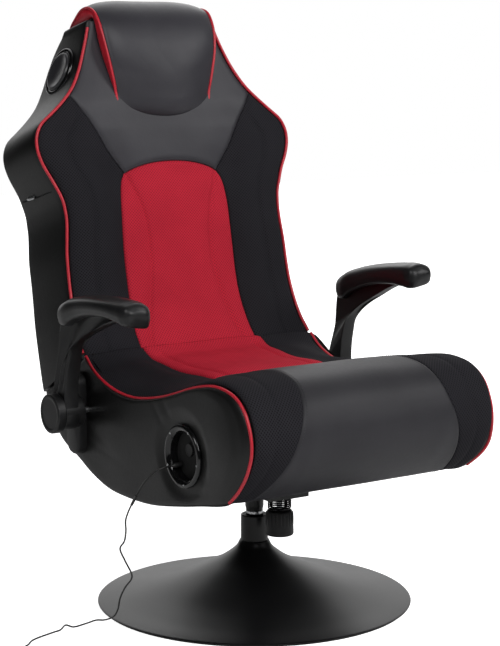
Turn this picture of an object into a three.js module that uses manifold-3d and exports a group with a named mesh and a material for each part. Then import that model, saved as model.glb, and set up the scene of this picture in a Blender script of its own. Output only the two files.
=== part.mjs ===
// Gaming rocker chair: a swivel pedestal, a tilting seat, a fold-down back and two flip-up arms.
// Millimetres, +Z up. The sitter faces -Y and the sitter's right hand is at -X.
// Heights start at the floor. Depths are taken from the column's axis, and the last lines move
// the whole chair so that its origin lies under the middle of its footprint.
import * as THREE from "three";
import { mergeVertices } from "three/addons/utils/BufferGeometryUtils.js";
import Module from "manifold-3d";

const wasm = await Module();
wasm.setup();

// Driving dimensions
const BASE_RADIUS = 290;
const TRUMPET_HEIGHT = 112;
const COLUMN_RADIUS = 25;
const SKIRT_CLEARANCE = 224;
const SEAT_HALF_WIDTH = 258;
const SEAT_DEPTH = 532;
const SEAT_HEIGHT = 240;
const CREASE_SETBACK = 172;
const BACK_LENGTH = 640;
const SHOULDER_REACH = 27;
const BACK_THICKNESS = 150;
const ARM_REACH = 52;
const ARM_PAD_LENGTH = 252;
const RECLINE = THREE.MathUtils.degToRad(13.5);
const PARTING_SLOPE = THREE.MathUtils.degToRad(28.9);
const LEFT_ARM_LIFT = THREE.MathUtils.degToRad(5.5);
const BACK_HALF_WIDTH = SEAT_HALF_WIDTH + SHOULDER_REACH;
const ARM_PLANE = SEAT_HALF_WIDTH + ARM_REACH;

// Clearances, walls and overruns
const GAP = 0.3;
const OVERRUN = 4;
const WELD = 1e-3;
const PANEL_WALL = 12;
const BOARD_WALL = 15;
const PIPING_RADIUS = 3.5;

// Facet counts
const ROUND = 20;
const FINE_ROUND = 36;
const PIPE_SIDES = 6;

// Materials
const finish = (color, roughness, metalness) =>
  new THREE.MeshStandardMaterial({ color, roughness, metalness });
const paintedSteel = finish(0x1c1c1d, 0.45, 0.4);
const zincSteel = finish(0xb9bbbd, 0.3, 0.9);
const blackPlastic = finish(0x1a1a1b, 0.55, 0);
const glossPlastic = finish(0x0c0c0d, 0.12, 0);
const blackRubber = finish(0x151515, 0.85, 0);
const sideLeather = finish(0x242424, 0.45, 0);
const greyLeather = finish(0x48484c, 0.45, 0);
const blackMesh = finish(0x1e1e20, 0.9, 0);
const redMesh = finish(0xb81c2c, 0.9, 0);
const redPiping = finish(0xd02236, 0.5, 0);
const plywood = finish(0xb08a5c, 0.8, 0);
const circuitGreen = finish(0x1f5a35, 0.5, 0);
const softPad = finish(0x232326, 0.5, 0);

// The chair and the groups that place its parts
const chair = new THREE.Group();
const clear = (size) => size + GAP;
const shrink = (size) => size - GAP;

function named(name, geometry, material, group = chair) {
  const piece = new THREE.Mesh(geometry, material);
  piece.name = name;
  group.add(piece);
  return piece;
}

// A geometry as a solid that can be joined and cut.
function solid(geometry) {
  const loose = geometry.index ? geometry.toNonIndexed() : geometry;
  const bare = new THREE.BufferGeometry();
  bare.setAttribute("position", loose.getAttribute("position"));
  const merged = mergeVertices(bare, WELD);
  const triVerts = new Uint32Array(merged.index.array);
  const vertProperties = merged.attributes.position.array;
  return new wasm.Manifold(new wasm.Mesh({ numProp: 3, vertProperties, triVerts }));
}

// A solid turned back into a geometry.
function shapeOf(manifold) {
  const mesh = manifold.getMesh();
  const shape = new THREE.BufferGeometry();
  shape.setAttribute("position", new THREE.BufferAttribute(mesh.vertProperties, 3));
  shape.setIndex(new THREE.BufferAttribute(mesh.triVerts, 1));
  return shape;
}

// A round body about Z from a list of [radius, height] pairs.
function turned(profile, segments = ROUND) {
  const points = profile.map(([radius, height]) => new THREE.Vector2(radius, height));
  return new THREE.LatheGeometry(points, segments).rotateX(Math.PI / 2);
}

// A ring or tube about Z between two heights.
function sleeve(inner, outer, low, high, segments = ROUND) {
  return turned([[inner, low], [outer, low], [outer, high], [inner, high], [inner, low]], segments);
}

// A disc or bar about Z between two heights.
function rod(radius, low, high, segments = ROUND) {
  return turned([[0, low], [radius, low], [radius, high], [0, high]], segments);
}

// Turns a body about Z so that it points along +X, away from the chair's middle on one side.
function outward(geometry, side) {
  return geometry.rotateY((side * Math.PI) / 2);
}

// A box given by its lowest and highest corners.
function block(low, high) {
  const size = high.map((top, axis) => top - low[axis]);
  const middle = high.map((top, axis) => (top + low[axis]) / 2);
  return new THREE.BoxGeometry(...size).translate(...middle);
}

// A closed body through rings that hold the same number of points, with a fan over each end.
function loft(rings) {
  const count = rings[0].length;
  const points = rings.flat();
  const index = [];
  const quad = (a, b, c, d) => index.push(a, b, c, a, c, d);
  for (let ring = 0; ring + 1 < rings.length; ring++) {
    for (let i = 0; i < count; i++) {
      const next = (i + 1) % count;
      quad(ring * count + i, ring * count + next, (ring + 1) * count + next, (ring + 1) * count + i);
    }
  }
  const last = (rings.length - 1) * count;
  for (const [start, flip] of [[0, true], [last, false]]) {
    const outline = points.slice(start, start + count);
    const middle = outline.reduce((sum, p) => sum.add(p), new THREE.Vector3()).divideScalar(count);
    const centre = points.push(middle) - 1;
    for (let i = 0; i < count; i++) {
      const next = (i + 1) % count;
      index.push(centre, start + (flip ? next : i), start + (flip ? i : next));
    }
  }
  let volume = 0;
  for (let i = 0; i < index.length; i += 3) {
    const [a, b, c] = index.slice(i, i + 3).map((k) => points[k]);
    volume += a.dot(b.clone().cross(c));
  }
  if (volume < 0) index.reverse();
  const shape = new THREE.BufferGeometry().setFromPoints(points);
  return shape.setIndex(index);
}

const range = (count) => Array.from({ length: count + 1 }, (_, i) => i / count);
const mix = (a, b, share) => a + (b - a) * share;
const limit = (share) => Math.min(1, Math.max(0, share));
const byAxis = (a, b) => a - b;

// A smooth line through [a, b] pairs, sampled evenly by length.
function smooth(pairs, samples) {
  const line = new THREE.SplineCurve(pairs.map(([a, b]) => new THREE.Vector2(a, b)));
  return line.getSpacedPoints(samples).map((p) => [p.x, p.y]);
}

// Reads the second number of a line of pairs over a place, where its first numbers only grow.
function reader(line) {
  return (place) => {
    const after = line.findIndex(([a]) => a > place);
    const at = after < 0 ? line.length - 1 : Math.max(1, after);
    const [[a0, b0], [a1, b1]] = [line[at - 1], line[at]];
    return mix(b0, b1, limit((place - a0) / (a1 - a0)));
  };
}

// An open line moved sideways by a distance, to its left when the distance is positive.
function beside(line, distance) {
  return line.map(([a, b], i) => {
    const [a0, b0] = line[Math.max(0, i - 1)];
    const [a1, b1] = line[Math.min(line.length - 1, i + 1)];
    const length = Math.hypot(a1 - a0, b1 - b0);
    return [a - (distance * (b1 - b0)) / length, b + (distance * (a1 - a0)) / length];
  });
}

// A plate in the Y-Z plane from an outline of [y, z] pairs, between two places along X.
function sidePlate(outline, from, to) {
  const shape = new THREE.Shape(outline.map(([y, z]) => new THREE.Vector2(y, z)));
  const plate = new THREE.ExtrudeGeometry(shape, { depth: to - from, bevelEnabled: false });
  return plate.rotateY(Math.PI / 2).rotateX(Math.PI / 2).translate(from, 0, 0);
}

// A round tube along a smooth route of Vector3 points.
function tube(route, radius, sides, steps) {
  const section = new THREE.Shape();
  const corners = Array.from({ length: sides }, (_, i) => (2 * Math.PI * i) / sides);
  section.setFromPoints(corners.map((a) => new THREE.Vector2(radius * Math.cos(a), radius * Math.sin(a))));
  const extrudePath = new THREE.CatmullRomCurve3(route);
  return new THREE.ExtrudeGeometry(section, { steps, extrudePath, bevelEnabled: false });
}

// Seat outline, shared by the side panels, the cushion, the roll and the piping.
// Pairs are the share of the seat's depth in front of the crease and the share of its height.
const pipingShares = [
  [0, 0.962], [0.056, 0.88], [0.137, 0.804], [0.22, 0.766], [0.312, 0.758],
  [0.41, 0.783], [0.504, 0.829], [0.656, 0.933], [0.801, 1], [0.89, 0.972],
  [0.95, 0.9], [0.99, 0.78], [1, 0.64], [0.98, 0.475], [0.878, 0.221],
];
const bellyShares = [
  [0.84, 0.19], [0.724, 0.133], [0.607, 0.079], [0.425, 0.0125], [0.258, 0], [0.152, 0.017], [0.038, 0.092],
  [-0.053, 0.179], [-0.16, 0.262],
];
const seatPoint = ([front, up]) => [CREASE_SETBACK - SEAT_DEPTH * front, SKIRT_CLEARANCE + SEAT_HEIGHT * up];
const pipingLine = smooth(pipingShares.map(seatPoint), 36);
const bellyLine = smooth(bellyShares.map(seatPoint), 12);
const [creaseY, creaseZ] = pipingLine[0];

// The parting face falls to the rear from the crease, and the back is hinged on the crease.
const partingZ = (y) => creaseZ - (y - creaseY) * Math.tan(PARTING_SLOPE);
const seatFaceZ = (y) => partingZ(y) - GAP / Math.cos(PARTING_SLOPE);

// The rear edge rises from the belly to the parting face: shares of the depth and of the height there
const rearShares = [[0.235, 0.594], [0.275, 0.865], [0.286, 0.983]];
const rearLine = rearShares.map(([behind, up]) => {
  const y = CREASE_SETBACK + SEAT_DEPTH * behind;
  return [y, mix(SKIRT_CLEARANCE, seatFaceZ(y), up)];
});
const [rearY] = rearLine[rearLine.length - 1];
const bellyZ = reader([...bellyLine, ...rearLine]);

// Mechanism heights, worked down from the seat board
const BOARD_LIFT = 30;
const PLATE_WALL = 5;
const CHANNEL_WALL = 4;
const CHANNEL_DROP = 28;
const PLATE_LIFT = 8.7;
const PIN_DROP = 24.7;
const HUB_LENGTH = 42;
const BEARING_HEIGHT = 6.4;
const boardZ = SKIRT_CLEARANCE + BOARD_LIFT;
const plateZ = boardZ - GAP - PLATE_WALL;
const channelZ = plateZ - PLATE_LIFT;
const channelFloorZ = channelZ - CHANNEL_DROP;
const pinZ = plateZ - PIN_DROP;
const hubZ = channelFloorZ - HUB_LENGTH;
const bearingZ = hubZ - GAP - BEARING_HEIGHT;
const columnZ = bearingZ - GAP;

// Pedestal: a spun steel trumpet on a rubber ring, with the column tube in its neck
const SHEET = 3;
const LIP_HEIGHT = 6;
const FLOOR_RING_HEIGHT = 3;
const FLOOR_RING_WIDTH = 9;
const NECK_WALL = 3;
const NECK_DEPTH = 14;
const TUBE_WALL = 5;
const TUBE_DEPTH = 46;
const TUBE_CHAMFER = 2.5;
const trumpetShares = [
  [0.114, 0.92], [0.167, 0.8], [0.228, 0.7], [0.307, 0.6],
  [0.448, 0.44], [0.62, 0.285], [0.81, 0.16], [0.976, 0.08],
];
const neckRadius = COLUMN_RADIUS + NECK_WALL;
const lipZ = clear(FLOOR_RING_HEIGHT);
const flare = smooth(
  [[neckRadius, TRUMPET_HEIGHT], ...trumpetShares.map(([r, z]) => [BASE_RADIUS * r, TRUMPET_HEIGHT * z])],
  11,
);
const under = beside(flare, -SHEET).filter(([r, z]) => r > neckRadius && z < TRUMPET_HEIGHT - NECK_DEPTH);
const trumpet = turned(
  [
    ...flare,
    [BASE_RADIUS, lipZ + LIP_HEIGHT - SHEET],
    [BASE_RADIUS, lipZ],
    [BASE_RADIUS - SHEET, lipZ],
    ...under.reverse(),
    [clear(COLUMN_RADIUS), TRUMPET_HEIGHT - NECK_DEPTH],
    [clear(COLUMN_RADIUS), TRUMPET_HEIGHT],
    flare[0],
  ].reverse(),
  FINE_ROUND,
);
named("trumpet_base", trumpet, paintedSteel);
const floorRing = sleeve(BASE_RADIUS - FLOOR_RING_WIDTH, BASE_RADIUS, 0, FLOOR_RING_HEIGHT, FINE_ROUND);
named("floor_ring", floorRing, blackRubber);
const tubeFootZ = TRUMPET_HEIGHT - TUBE_DEPTH;
const tubeBore = COLUMN_RADIUS - TUBE_WALL;
named(
  "column_tube",
  turned([
    [tubeBore, tubeFootZ],
    [COLUMN_RADIUS, tubeFootZ],
    [COLUMN_RADIUS, columnZ - TUBE_CHAMFER],
    [COLUMN_RADIUS - TUBE_CHAMFER, columnZ],
    [tubeBore, columnZ],
    [tubeBore, tubeFootZ],
  ]),
  paintedSteel,
);

// Swivel: a spindle in a plastic bush, held below by a clip and carried on a bearing ring
const SPINDLE_RADIUS = 14;
const SPINDLE_REACH = 36;
const CLIP_HEIGHT = 5;
const CLIP_RADIUS = 19;
const BEARING_RADIUS = 16;
const clipZ = tubeFootZ - GAP - CLIP_HEIGHT;
const spindleTopZ = hubZ + SPINDLE_REACH;
named("column_bush", sleeve(clear(SPINDLE_RADIUS), shrink(tubeBore), tubeFootZ, columnZ), blackPlastic);
named("spindle", rod(SPINDLE_RADIUS, clipZ - CLIP_HEIGHT, spindleTopZ), zincSteel);
named("spindle_clip", sleeve(clear(SPINDLE_RADIUS), CLIP_RADIUS, clipZ, clipZ + CLIP_HEIGHT), zincSteel);
const bearingRing = sleeve(clear(SPINDLE_RADIUS), BEARING_RADIUS, bearingZ, bearingZ + BEARING_HEIGHT);
named("bearing_ring", bearingRing, zincSteel);

// Tilt mechanism: a folded channel with a welded hub, a cross pin and a seat plate with two ears
const CHANNEL_HALF_WIDTH = 42;
const CHANNEL_FRONT = 112;
const CHANNEL_REAR = 34;
const HUB_RADIUS = 17;
const HUB_TAPER = 9;
const HUB_MOUTH = 15.3;
const BOLT_SETFORWARD = 80;
const SLOT_RADIUS = 11;
const TILT_PIN_RADIUS = 6;
const PIN_HEAD_RADIUS = 10;
const PIN_HEAD_WALL = 4;
const EAR_WALL = 4;
const EAR_GAP = 1;
const EAR_HALF_LENGTH = 20;
const EAR_DROP = 14;
const PLATE_FRONT = 122;
const PLATE_REAR = 80;
const PLATE_HALF_WIDTH = 80;
const STOP_LENGTH = 12;
const STOP_HALF_WIDTH = 25;
const channelShell = solid(
  block([-CHANNEL_HALF_WIDTH, -CHANNEL_FRONT, channelFloorZ], [CHANNEL_HALF_WIDTH, CHANNEL_REAR, channelZ]),
);
const channelInside = solid(
  block(
    [CHANNEL_WALL - CHANNEL_HALF_WIDTH, CHANNEL_WALL - CHANNEL_FRONT, channelFloorZ - OVERRUN],
    [CHANNEL_HALF_WIDTH - CHANNEL_WALL, CHANNEL_REAR - CHANNEL_WALL, channelZ - CHANNEL_WALL],
  ),
);
const hub = turned([
  [0, hubZ],
  [HUB_MOUTH, hubZ],
  [HUB_RADIUS, hubZ + HUB_TAPER],
  [HUB_RADIUS, channelZ - CHANNEL_WALL / 2],
  [0, channelZ - CHANNEL_WALL / 2],
]);
const across = (radius, reach) => outward(rod(radius, -reach, reach), 1).translate(0, 0, pinZ);
const boltPlace = (geometry) => geometry.translate(0, -BOLT_SETFORWARD, 0);
const channel = channelShell
  .subtract(channelInside)
  .add(solid(hub))
  .subtract(solid(rod(clear(SPINDLE_RADIUS), hubZ - OVERRUN, clear(spindleTopZ))))
  .subtract(solid(across(clear(TILT_PIN_RADIUS), CHANNEL_HALF_WIDTH + OVERRUN)))
  .subtract(solid(boltPlace(rod(SLOT_RADIUS, channelFloorZ, channelZ + OVERRUN))));
named("mechanism_channel", shapeOf(channel), paintedSteel);

const earIn = CHANNEL_HALF_WIDTH + EAR_GAP;
const earOut = earIn + EAR_WALL;
let seatPlate = solid(
  block([-PLATE_HALF_WIDTH, -PLATE_FRONT, plateZ], [PLATE_HALF_WIDTH, PLATE_REAR, plateZ + PLATE_WALL]),
);
for (const side of [-1, 1]) {
  const faces = [side * earIn, side * earOut].sort((a, b) => a - b);
  const ear = block(
    [faces[0], -EAR_HALF_LENGTH, pinZ - EAR_DROP],
    [faces[1], EAR_HALF_LENGTH, plateZ + PLATE_WALL],
  );
  seatPlate = seatPlate.add(solid(ear));
}
seatPlate = seatPlate.subtract(solid(across(clear(TILT_PIN_RADIUS), earOut + OVERRUN)));
named("tilt_plate", shapeOf(seatPlate), paintedSteel);

const headIn = clear(earOut);
const headOut = headIn + PIN_HEAD_WALL;
named(
  "tilt_pin",
  outward(
    turned([
      [0, -headOut],
      [PIN_HEAD_RADIUS, -headOut],
      [PIN_HEAD_RADIUS, -headIn],
      [TILT_PIN_RADIUS, -headIn],
      [TILT_PIN_RADIUS, headIn],
      [PIN_HEAD_RADIUS, headIn],
      [PIN_HEAD_RADIUS, headOut],
      [0, headOut],
    ]),
    1,
  ).translate(0, 0, pinZ),
  zincSteel,
);
named(
  "stop_buffer",
  block(
    [-STOP_HALF_WIDTH, GAP - CHANNEL_FRONT, clear(channelZ)],
    [STOP_HALF_WIDTH, STOP_LENGTH - CHANNEL_FRONT, shrink(plateZ)],
  ),
  blackRubber,
);

// Tension bolt, knob and spring: leaning back lifts the knob and squeezes the spring
const BOLT_RADIUS = 5;
const BOLT_HEAD_RADIUS = 9;
const BOLT_HEAD_HEIGHT = 5;
const KNOB_HEIGHT = 47;
const KNOB_TOP_RADIUS = 23;
const KNOB_FOOT_RADIUS = 26.5;
const KNOB_ROUNDING = 6;
const KNOB_FLOOR = 10;
const SPRING_HEIGHT = 48;
const SPRING_RADIUS = 20.6;
const SPRING_WIRE_RADIUS = 1.3;
const SPRING_PITCH = 3.9;
const SPRING_STEPS = 8;
const SPRING_SIDES = 5;
const springCeiling = channelZ - CHANNEL_WALL - GAP;
const knobTopZ = springCeiling - SPRING_HEIGHT - GAP;
const knobFootZ = knobTopZ - KNOB_HEIGHT;
named(
  "tension_bolt",
  boltPlace(
    turned([
      [0, knobFootZ + KNOB_FLOOR + GAP],
      [BOLT_RADIUS, knobFootZ + KNOB_FLOOR + GAP],
      [BOLT_RADIUS, shrink(plateZ) - BOLT_HEAD_HEIGHT],
      [BOLT_HEAD_RADIUS, shrink(plateZ) - BOLT_HEAD_HEIGHT],
      [BOLT_HEAD_RADIUS, shrink(plateZ)],
      [0, shrink(plateZ)],
    ]),
  ),
  zincSteel,
);
named(
  "tension_knob",
  boltPlace(
    turned([
      [0, knobFootZ],
      [KNOB_FOOT_RADIUS - KNOB_ROUNDING, knobFootZ],
      [KNOB_FOOT_RADIUS, knobFootZ + KNOB_ROUNDING],
      [KNOB_TOP_RADIUS, knobTopZ],
      [clear(BOLT_RADIUS), knobTopZ],
      [clear(BOLT_RADIUS), knobFootZ + KNOB_FLOOR],
      [0, knobFootZ + KNOB_FLOOR],
    ]),
  ),
  blackPlastic,
);

// One unbroken tube along a list of Vector3 points, with a section that stands square to the run.
function wound(route, radius, sides) {
  const rings = route.map((point, i) => {
    const before = route[Math.max(0, i - 1)];
    const after = route[Math.min(route.length - 1, i + 1)];
    const run = after.clone().sub(before).normalize();
    const over = new THREE.Vector3(-run.y, run.x, 0).normalize();
    const up = run.clone().cross(over);
    return range(sides).slice(0, sides).map((share) => {
      const turn = 2 * Math.PI * share;
      const reach = over.clone().multiplyScalar(radius * Math.cos(turn));
      return reach.addScaledVector(up, radius * Math.sin(turn)).add(point);
    });
  });
  return loft(rings);
}

// The least gap between stretches of a wound tube that lie more than half a turn apart.
function selfGap(route, radius, steps) {
  let least = Infinity;
  for (let i = 0; i < route.length; i++) {
    for (let j = i + Math.ceil(steps / 2); j + 1 < route.length; j++) {
      const stretch = new THREE.Line3(route[j], route[j + 1]);
      const near = stretch.closestPointToPoint(route[i], true, new THREE.Vector3());
      least = Math.min(least, near.distanceTo(route[i]) - 2 * radius);
    }
  }
  return least;
}

const springTravel = SPRING_HEIGHT - 2 * (SPRING_WIRE_RADIUS + GAP);
const springTurns = springTravel / SPRING_PITCH;
const springRoute = range(Math.round(springTurns * SPRING_STEPS)).map((share) => {
  const turn = 2 * Math.PI * springTurns * share;
  return new THREE.Vector3(
    SPRING_RADIUS * Math.cos(turn),
    SPRING_RADIUS * Math.sin(turn) - BOLT_SETFORWARD,
    knobTopZ + GAP + SPRING_WIRE_RADIUS + springTravel * share,
  );
});
named("tension_spring", wound(springRoute, SPRING_WIRE_RADIUS, SPRING_SIDES), zincSteel);
const springGap = selfGap(springRoute, SPRING_WIRE_RADIUS, SPRING_STEPS);
console.log("spring, least gap to itself:", springGap.toFixed(2));

// Seat case: a plywood board and a rear rail between two side panels with piping on their edges
const ROLL_SPLIT_SHARE = 0.752;
const BOARD_FRONT_SHARE = 0.671;
const BOARD_REAR_SHARE = 0.013;
const CUP_SHARE = 0.637;
const CUP_UP_SHARE = 0.454;
const CUP_RADIUS = 44;
const ARM_PIVOT_SHARE = 0.0376;
const ARM_PIVOT_UP_SHARE = 0.579;
const ARM_BOLT_RADIUS = 6;
const PIPING_STEPS = 36;
const RAIL_WALL = 18;
const RAIL_SETBACK = 14;
const RAIL_LENGTH = 66;
const rollSplitY = CREASE_SETBACK - SEAT_DEPTH * ROLL_SPLIT_SHARE;
const boardFrontY = CREASE_SETBACK - SEAT_DEPTH * BOARD_FRONT_SHARE;
const boardRearY = CREASE_SETBACK - SEAT_DEPTH * BOARD_REAR_SHARE;
const cupY = CREASE_SETBACK - SEAT_DEPTH * CUP_SHARE;
const cupZ = SKIRT_CLEARANCE + SEAT_HEIGHT * CUP_UP_SHARE;
const armPivotY = CREASE_SETBACK - SEAT_DEPTH * ARM_PIVOT_SHARE;
const armPivotZ = SKIRT_CLEARANCE + SEAT_HEIGHT * ARM_PIVOT_UP_SHARE;
const insideHalf = SEAT_HALF_WIDTH - PANEL_WALL;
const cushionHalf = shrink(insideHalf);
const edgeInset = PIPING_RADIUS + GAP;
const boardTopZ = boardZ + BOARD_WALL;
const seatBoard = block([-cushionHalf, boardFrontY, boardZ], [cushionHalf, boardRearY, boardTopZ]);
named("seat_board", seatBoard, plywood);

// Two places along X on one side of the chair, the lower first
const faces = (side, inner, outer) => [side * inner, side * outer].sort(byAxis);
const cupPlace = (geometry, back = 0, up = 0) =>
  outward(geometry, -1).translate(0, cupY + back, cupZ + up);
const pivotPlace = (geometry) => geometry.translate(0, armPivotY, armPivotZ);
const sideOutline = [
  ...beside(pipingLine, edgeInset).filter(([y, z], i) => i > 0 && z < seatFaceZ(y) - edgeInset),
  ...bellyLine,
  ...rearLine,
  [rearY, seatFaceZ(rearY)],
  [creaseY, seatFaceZ(creaseY) - edgeInset],
];
const bothSides = [["right", -1], ["left", 1]];
for (const [word, side] of bothSides) {
  const boltHole = pivotPlace(outward(rod(clear(ARM_BOLT_RADIUS), 0, SEAT_HALF_WIDTH + OVERRUN), side));
  let panel = solid(sidePlate(sideOutline, ...faces(side, insideHalf, SEAT_HALF_WIDTH)));
  panel = panel.subtract(solid(boltHole));
  const cupHole = cupPlace(rod(clear(CUP_RADIUS), 0, SEAT_HALF_WIDTH + OVERRUN));
  if (side < 0) panel = panel.subtract(solid(cupHole));
  named("seat_side_" + word, shapeOf(panel), sideLeather);
  const edgeX = side * (SEAT_HALF_WIDTH - PANEL_WALL / 2);
  const route = pipingLine.slice(1).map(([y, z]) => new THREE.Vector3(edgeX, y, z));
  named("seat_piping_" + word, tube(route, PIPING_RADIUS, PIPE_SIDES, PIPING_STEPS), redPiping);
}

// Back hinges at the crease: a leaf on the seat, a leaf on the back and a pin through both barrels
const HINGE_INSET = 80;
const BARREL_LENGTH = 30;
const BARREL_RADIUS = 6;
const HINGE_PIN_RADIUS = 2.5;
const HINGE_SETBACK = 2;
const LEAF_LENGTH = 72;
const LEAF_WALL = 1.8;
const PIN_PROUD = 3;
const hingeIn = SEAT_HALF_WIDTH - HINGE_INSET;
const hingeY = creaseY + HINGE_SETBACK;
const hingeZ = partingZ(hingeY);

// A place along the parting face behind the hinge, and a height square to that face
const onParting = ([along, above]) => [
  hingeY + along * Math.cos(PARTING_SLOPE) + above * Math.sin(PARTING_SLOPE),
  hingeZ - along * Math.sin(PARTING_SLOPE) + above * Math.cos(PARTING_SLOPE),
];
const barrel = (radius, from, to) =>
  outward(rod(radius, from, to, ROUND / 2), 1).translate(0, hingeY, hingeZ);
const slab = (from, to, start, end, low, high) =>
  sidePlate([[start, low], [end, low], [end, high], [start, high]].map(onParting), from, to);
const hingeRooms = [];
for (const [word, side] of bothSides) {
  const pinSpan = 2 * BARREL_LENGTH + GAP;
  const [near, far] = faces(side, hingeIn, hingeIn + pinSpan);
  const bore = solid(barrel(clear(HINGE_PIN_RADIUS), near - OVERRUN, far + OVERRUN));
  const leaves = [
    ["seat_hinge_", near, near + BARREL_LENGTH, -LEAF_WALL - GAP, -GAP],
    ["back_hinge_", far - BARREL_LENGTH, far, GAP, LEAF_WALL + GAP],
  ];
  for (const [name, from, to, low, high] of leaves) {
    const plate = solid(slab(from, to, 0, LEAF_LENGTH, low, high));
    const leaf = solid(barrel(BARREL_RADIUS, from, to)).add(plate).subtract(bore);
    named(name + word, shapeOf(leaf), zincSteel);
  }
  named("hinge_pin_" + word, barrel(HINGE_PIN_RADIUS, near - PIN_PROUD, far + PIN_PROUD), zincSteel);
  const roomFrom = near - PIN_PROUD - GAP;
  const roomTo = far + PIN_PROUD + GAP;
  hingeRooms.push(barrel(clear(BARREL_RADIUS), roomFrom, roomTo));
  const roomHigh = LEAF_WALL + 2 * GAP;
  hingeRooms.push(slab(roomFrom, roomTo, 0, clear(LEAF_LENGTH), -roomHigh, roomHigh));
}
const cutFrom = (body, rooms) => rooms.reduce((rest, room) => rest.subtract(solid(room)), body);

// The rear rail under the hinges, cut flush with the parting face
const railEnd = RAIL_SETBACK + RAIL_LENGTH;
const rail = solid(slab(-cushionHalf, cushionHalf, RAIL_SETBACK, railEnd, -RAIL_WALL, -GAP));
named("seat_rail", shapeOf(cutFrom(rail, hingeRooms)), plywood);
const railRoom = slab(
  -insideHalf,
  insideHalf,
  shrink(RAIL_SETBACK),
  clear(railEnd),
  -clear(RAIL_WALL),
  RAIL_WALL,
);

// Seat cushion: side bolsters, a dipped middle with a sewn channel on each side, and a rear block
const CUSHION_CROWN = 36;
const CUSHION_DROP = 3;
const ROLL_LAP = 42;
const POCKET_CLEARANCE = 2;
const CUP_DEPTH = 21;
const CUP_POCKET = 14;
const mirrored = (shares) => [...shares, ...shares.slice(0, -1).reverse().map(([x, up]) => [-x, up])];
const crownAcrossShares = mirrored([
  [-1, 0], [-0.94, 0.32], [-0.82, 0.68], [-0.66, 0.9], [-0.56, 0.8], [-0.46, 0.92], [-0.24, 1], [0, 1],
]);
const crownAlongShares = [
  [-0.01, 0], [0.03, 0.42], [0.12, 0.86], [0.24, 1], [0.38, 1],
  [0.45, 0.72], [0.53, 0.58], [0.61, 0.42], [0.76, 0.36],
];
const dipLine = pipingLine.filter(([y]) => y > rollSplitY - ROLL_LAP).map(([y, z]) => [-y, z]);
const dipZ = reader(dipLine);
const crownLine = crownAlongShares.map(
  ([along, up]) => [SEAT_DEPTH * along - CREASE_SETBACK, CUSHION_CROWN * up],
);
const crownAt = reader(smooth(crownLine, 24));
const cushionRing = (y, topZ) => {
  const top = crownAcrossShares.map(([x, up]) => new THREE.Vector3(x * cushionHalf, y, topZ(y, up)));
  const foot = [cushionHalf, -cushionHalf].map((x) => new THREE.Vector3(x, y, bellyZ(y)));
  return [...top, ...foot];
};
const crownedZ = (y, up) => Math.min(dipZ(-y) - CUSHION_DROP + up * crownAt(-y), seatFaceZ(y));
const cushionBody = loft([
  ...range(12).map((share) => cushionRing(mix(rollSplitY, creaseY - OVERRUN, share), crownedZ)),
  ...range(4).map((share) => cushionRing(mix(creaseY, rearY, share), seatFaceZ)),
]);
const cupFloor = SEAT_HALF_WIDTH - CUP_DEPTH;
const boardRoom = block(
  [-insideHalf, boardFrontY - GAP, 0],
  [insideHalf, clear(boardRearY), clear(boardTopZ)],
);
const cupRoom = cupPlace(rod(CUP_RADIUS + POCKET_CLEARANCE, cupFloor - CUP_POCKET, SEAT_HALF_WIDTH));
const cushion = cutFrom(solid(cushionBody), [boardRoom, cupRoom, railRoom, ...hingeRooms]);
named("seat_cushion", shapeOf(cushion), blackMesh);

// Front roll: the piping's profile, swollen towards the middle of the seat
const ROLL_CROWN = 13;
const ROLL_CENTRE_SHARE = 0.62;
const rollBackY = rollSplitY - GAP;
const rollOutline = [
  [rollBackY, dipZ(-rollBackY) - CUSHION_DROP],
  ...beside(pipingLine, CUSHION_DROP).filter(([y], i) => y < rollBackY && i > PIPING_STEPS / 4),
  ...beside(bellyLine, CUSHION_DROP).filter(([y]) => y < rollBackY),
  [rollBackY, bellyZ(rollBackY) + CUSHION_DROP],
];
const rollCentre = [
  mix(creaseY - SEAT_DEPTH, rollBackY, 1 / 2),
  SKIRT_CLEARANCE + SEAT_HEIGHT * ROLL_CENTRE_SHARE,
];
const rollRings = range(10).map((share) => {
  const turn = Math.PI * share;
  const swell = ROLL_CROWN * Math.sqrt(Math.sin(turn));
  return rollOutline.map(([y, z]) => {
    const out = [y - rollCentre[0], z - rollCentre[1]];
    const scale = swell / Math.hypot(...out);
    const forward = scale * Math.min(0, out[0]);
    return new THREE.Vector3(-cushionHalf * Math.cos(turn), y + forward, z + scale * out[1]);
  });
});
named("front_roll", loft(rollRings), greyLeather);

// Control recess in the right side: cup, bezel ring, circuit board, knobs, button and socket
const RING_WALL = 6;
const RING_RADIUS = 55;
const CUP_WALL = 2.5;
const CIRCUIT_HALF_LENGTH = 34;
const CIRCUIT_HALF_HEIGHT = 24;
const CIRCUIT_WALL = 1.6;
const SHAFT_RADIUS = 3;
const CAP_LIFT = 2.5;
const CAP_BEVEL = 0.8;
const BUTTON_TRAVEL = 1.5;
const SOCKET_BACK = 28;
const SOCKET_UP = -21;
const SOCKET_RADIUS = 5.5;
const SOCKET_LENGTH = 8.7;
const PLUG_TIP_RADIUS = 1.75;
const cupMouth = CUP_RADIUS - CUP_WALL;
const cupBack = cupFloor - CUP_WALL;
const controls = [
  { name: "volume_knob", back: 0, up: 9, radius: 11.5, height: 13, foot: cupBack },
  { name: "bass_knob", back: -24, up: 8, radius: 7, height: 10, foot: cupBack },
  { name: "power_button", back: 23, up: 9, radius: 6, height: 7, foot: cupBack + BUTTON_TRAVEL },
];
let cup = solid(
  cupPlace(
    turned([
      [0, cupBack],
      [CUP_RADIUS, cupBack],
      [CUP_RADIUS, SEAT_HALF_WIDTH],
      [cupMouth, SEAT_HALF_WIDTH],
      [cupMouth, cupFloor],
      [0, cupFloor],
    ]),
  ),
);
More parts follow.
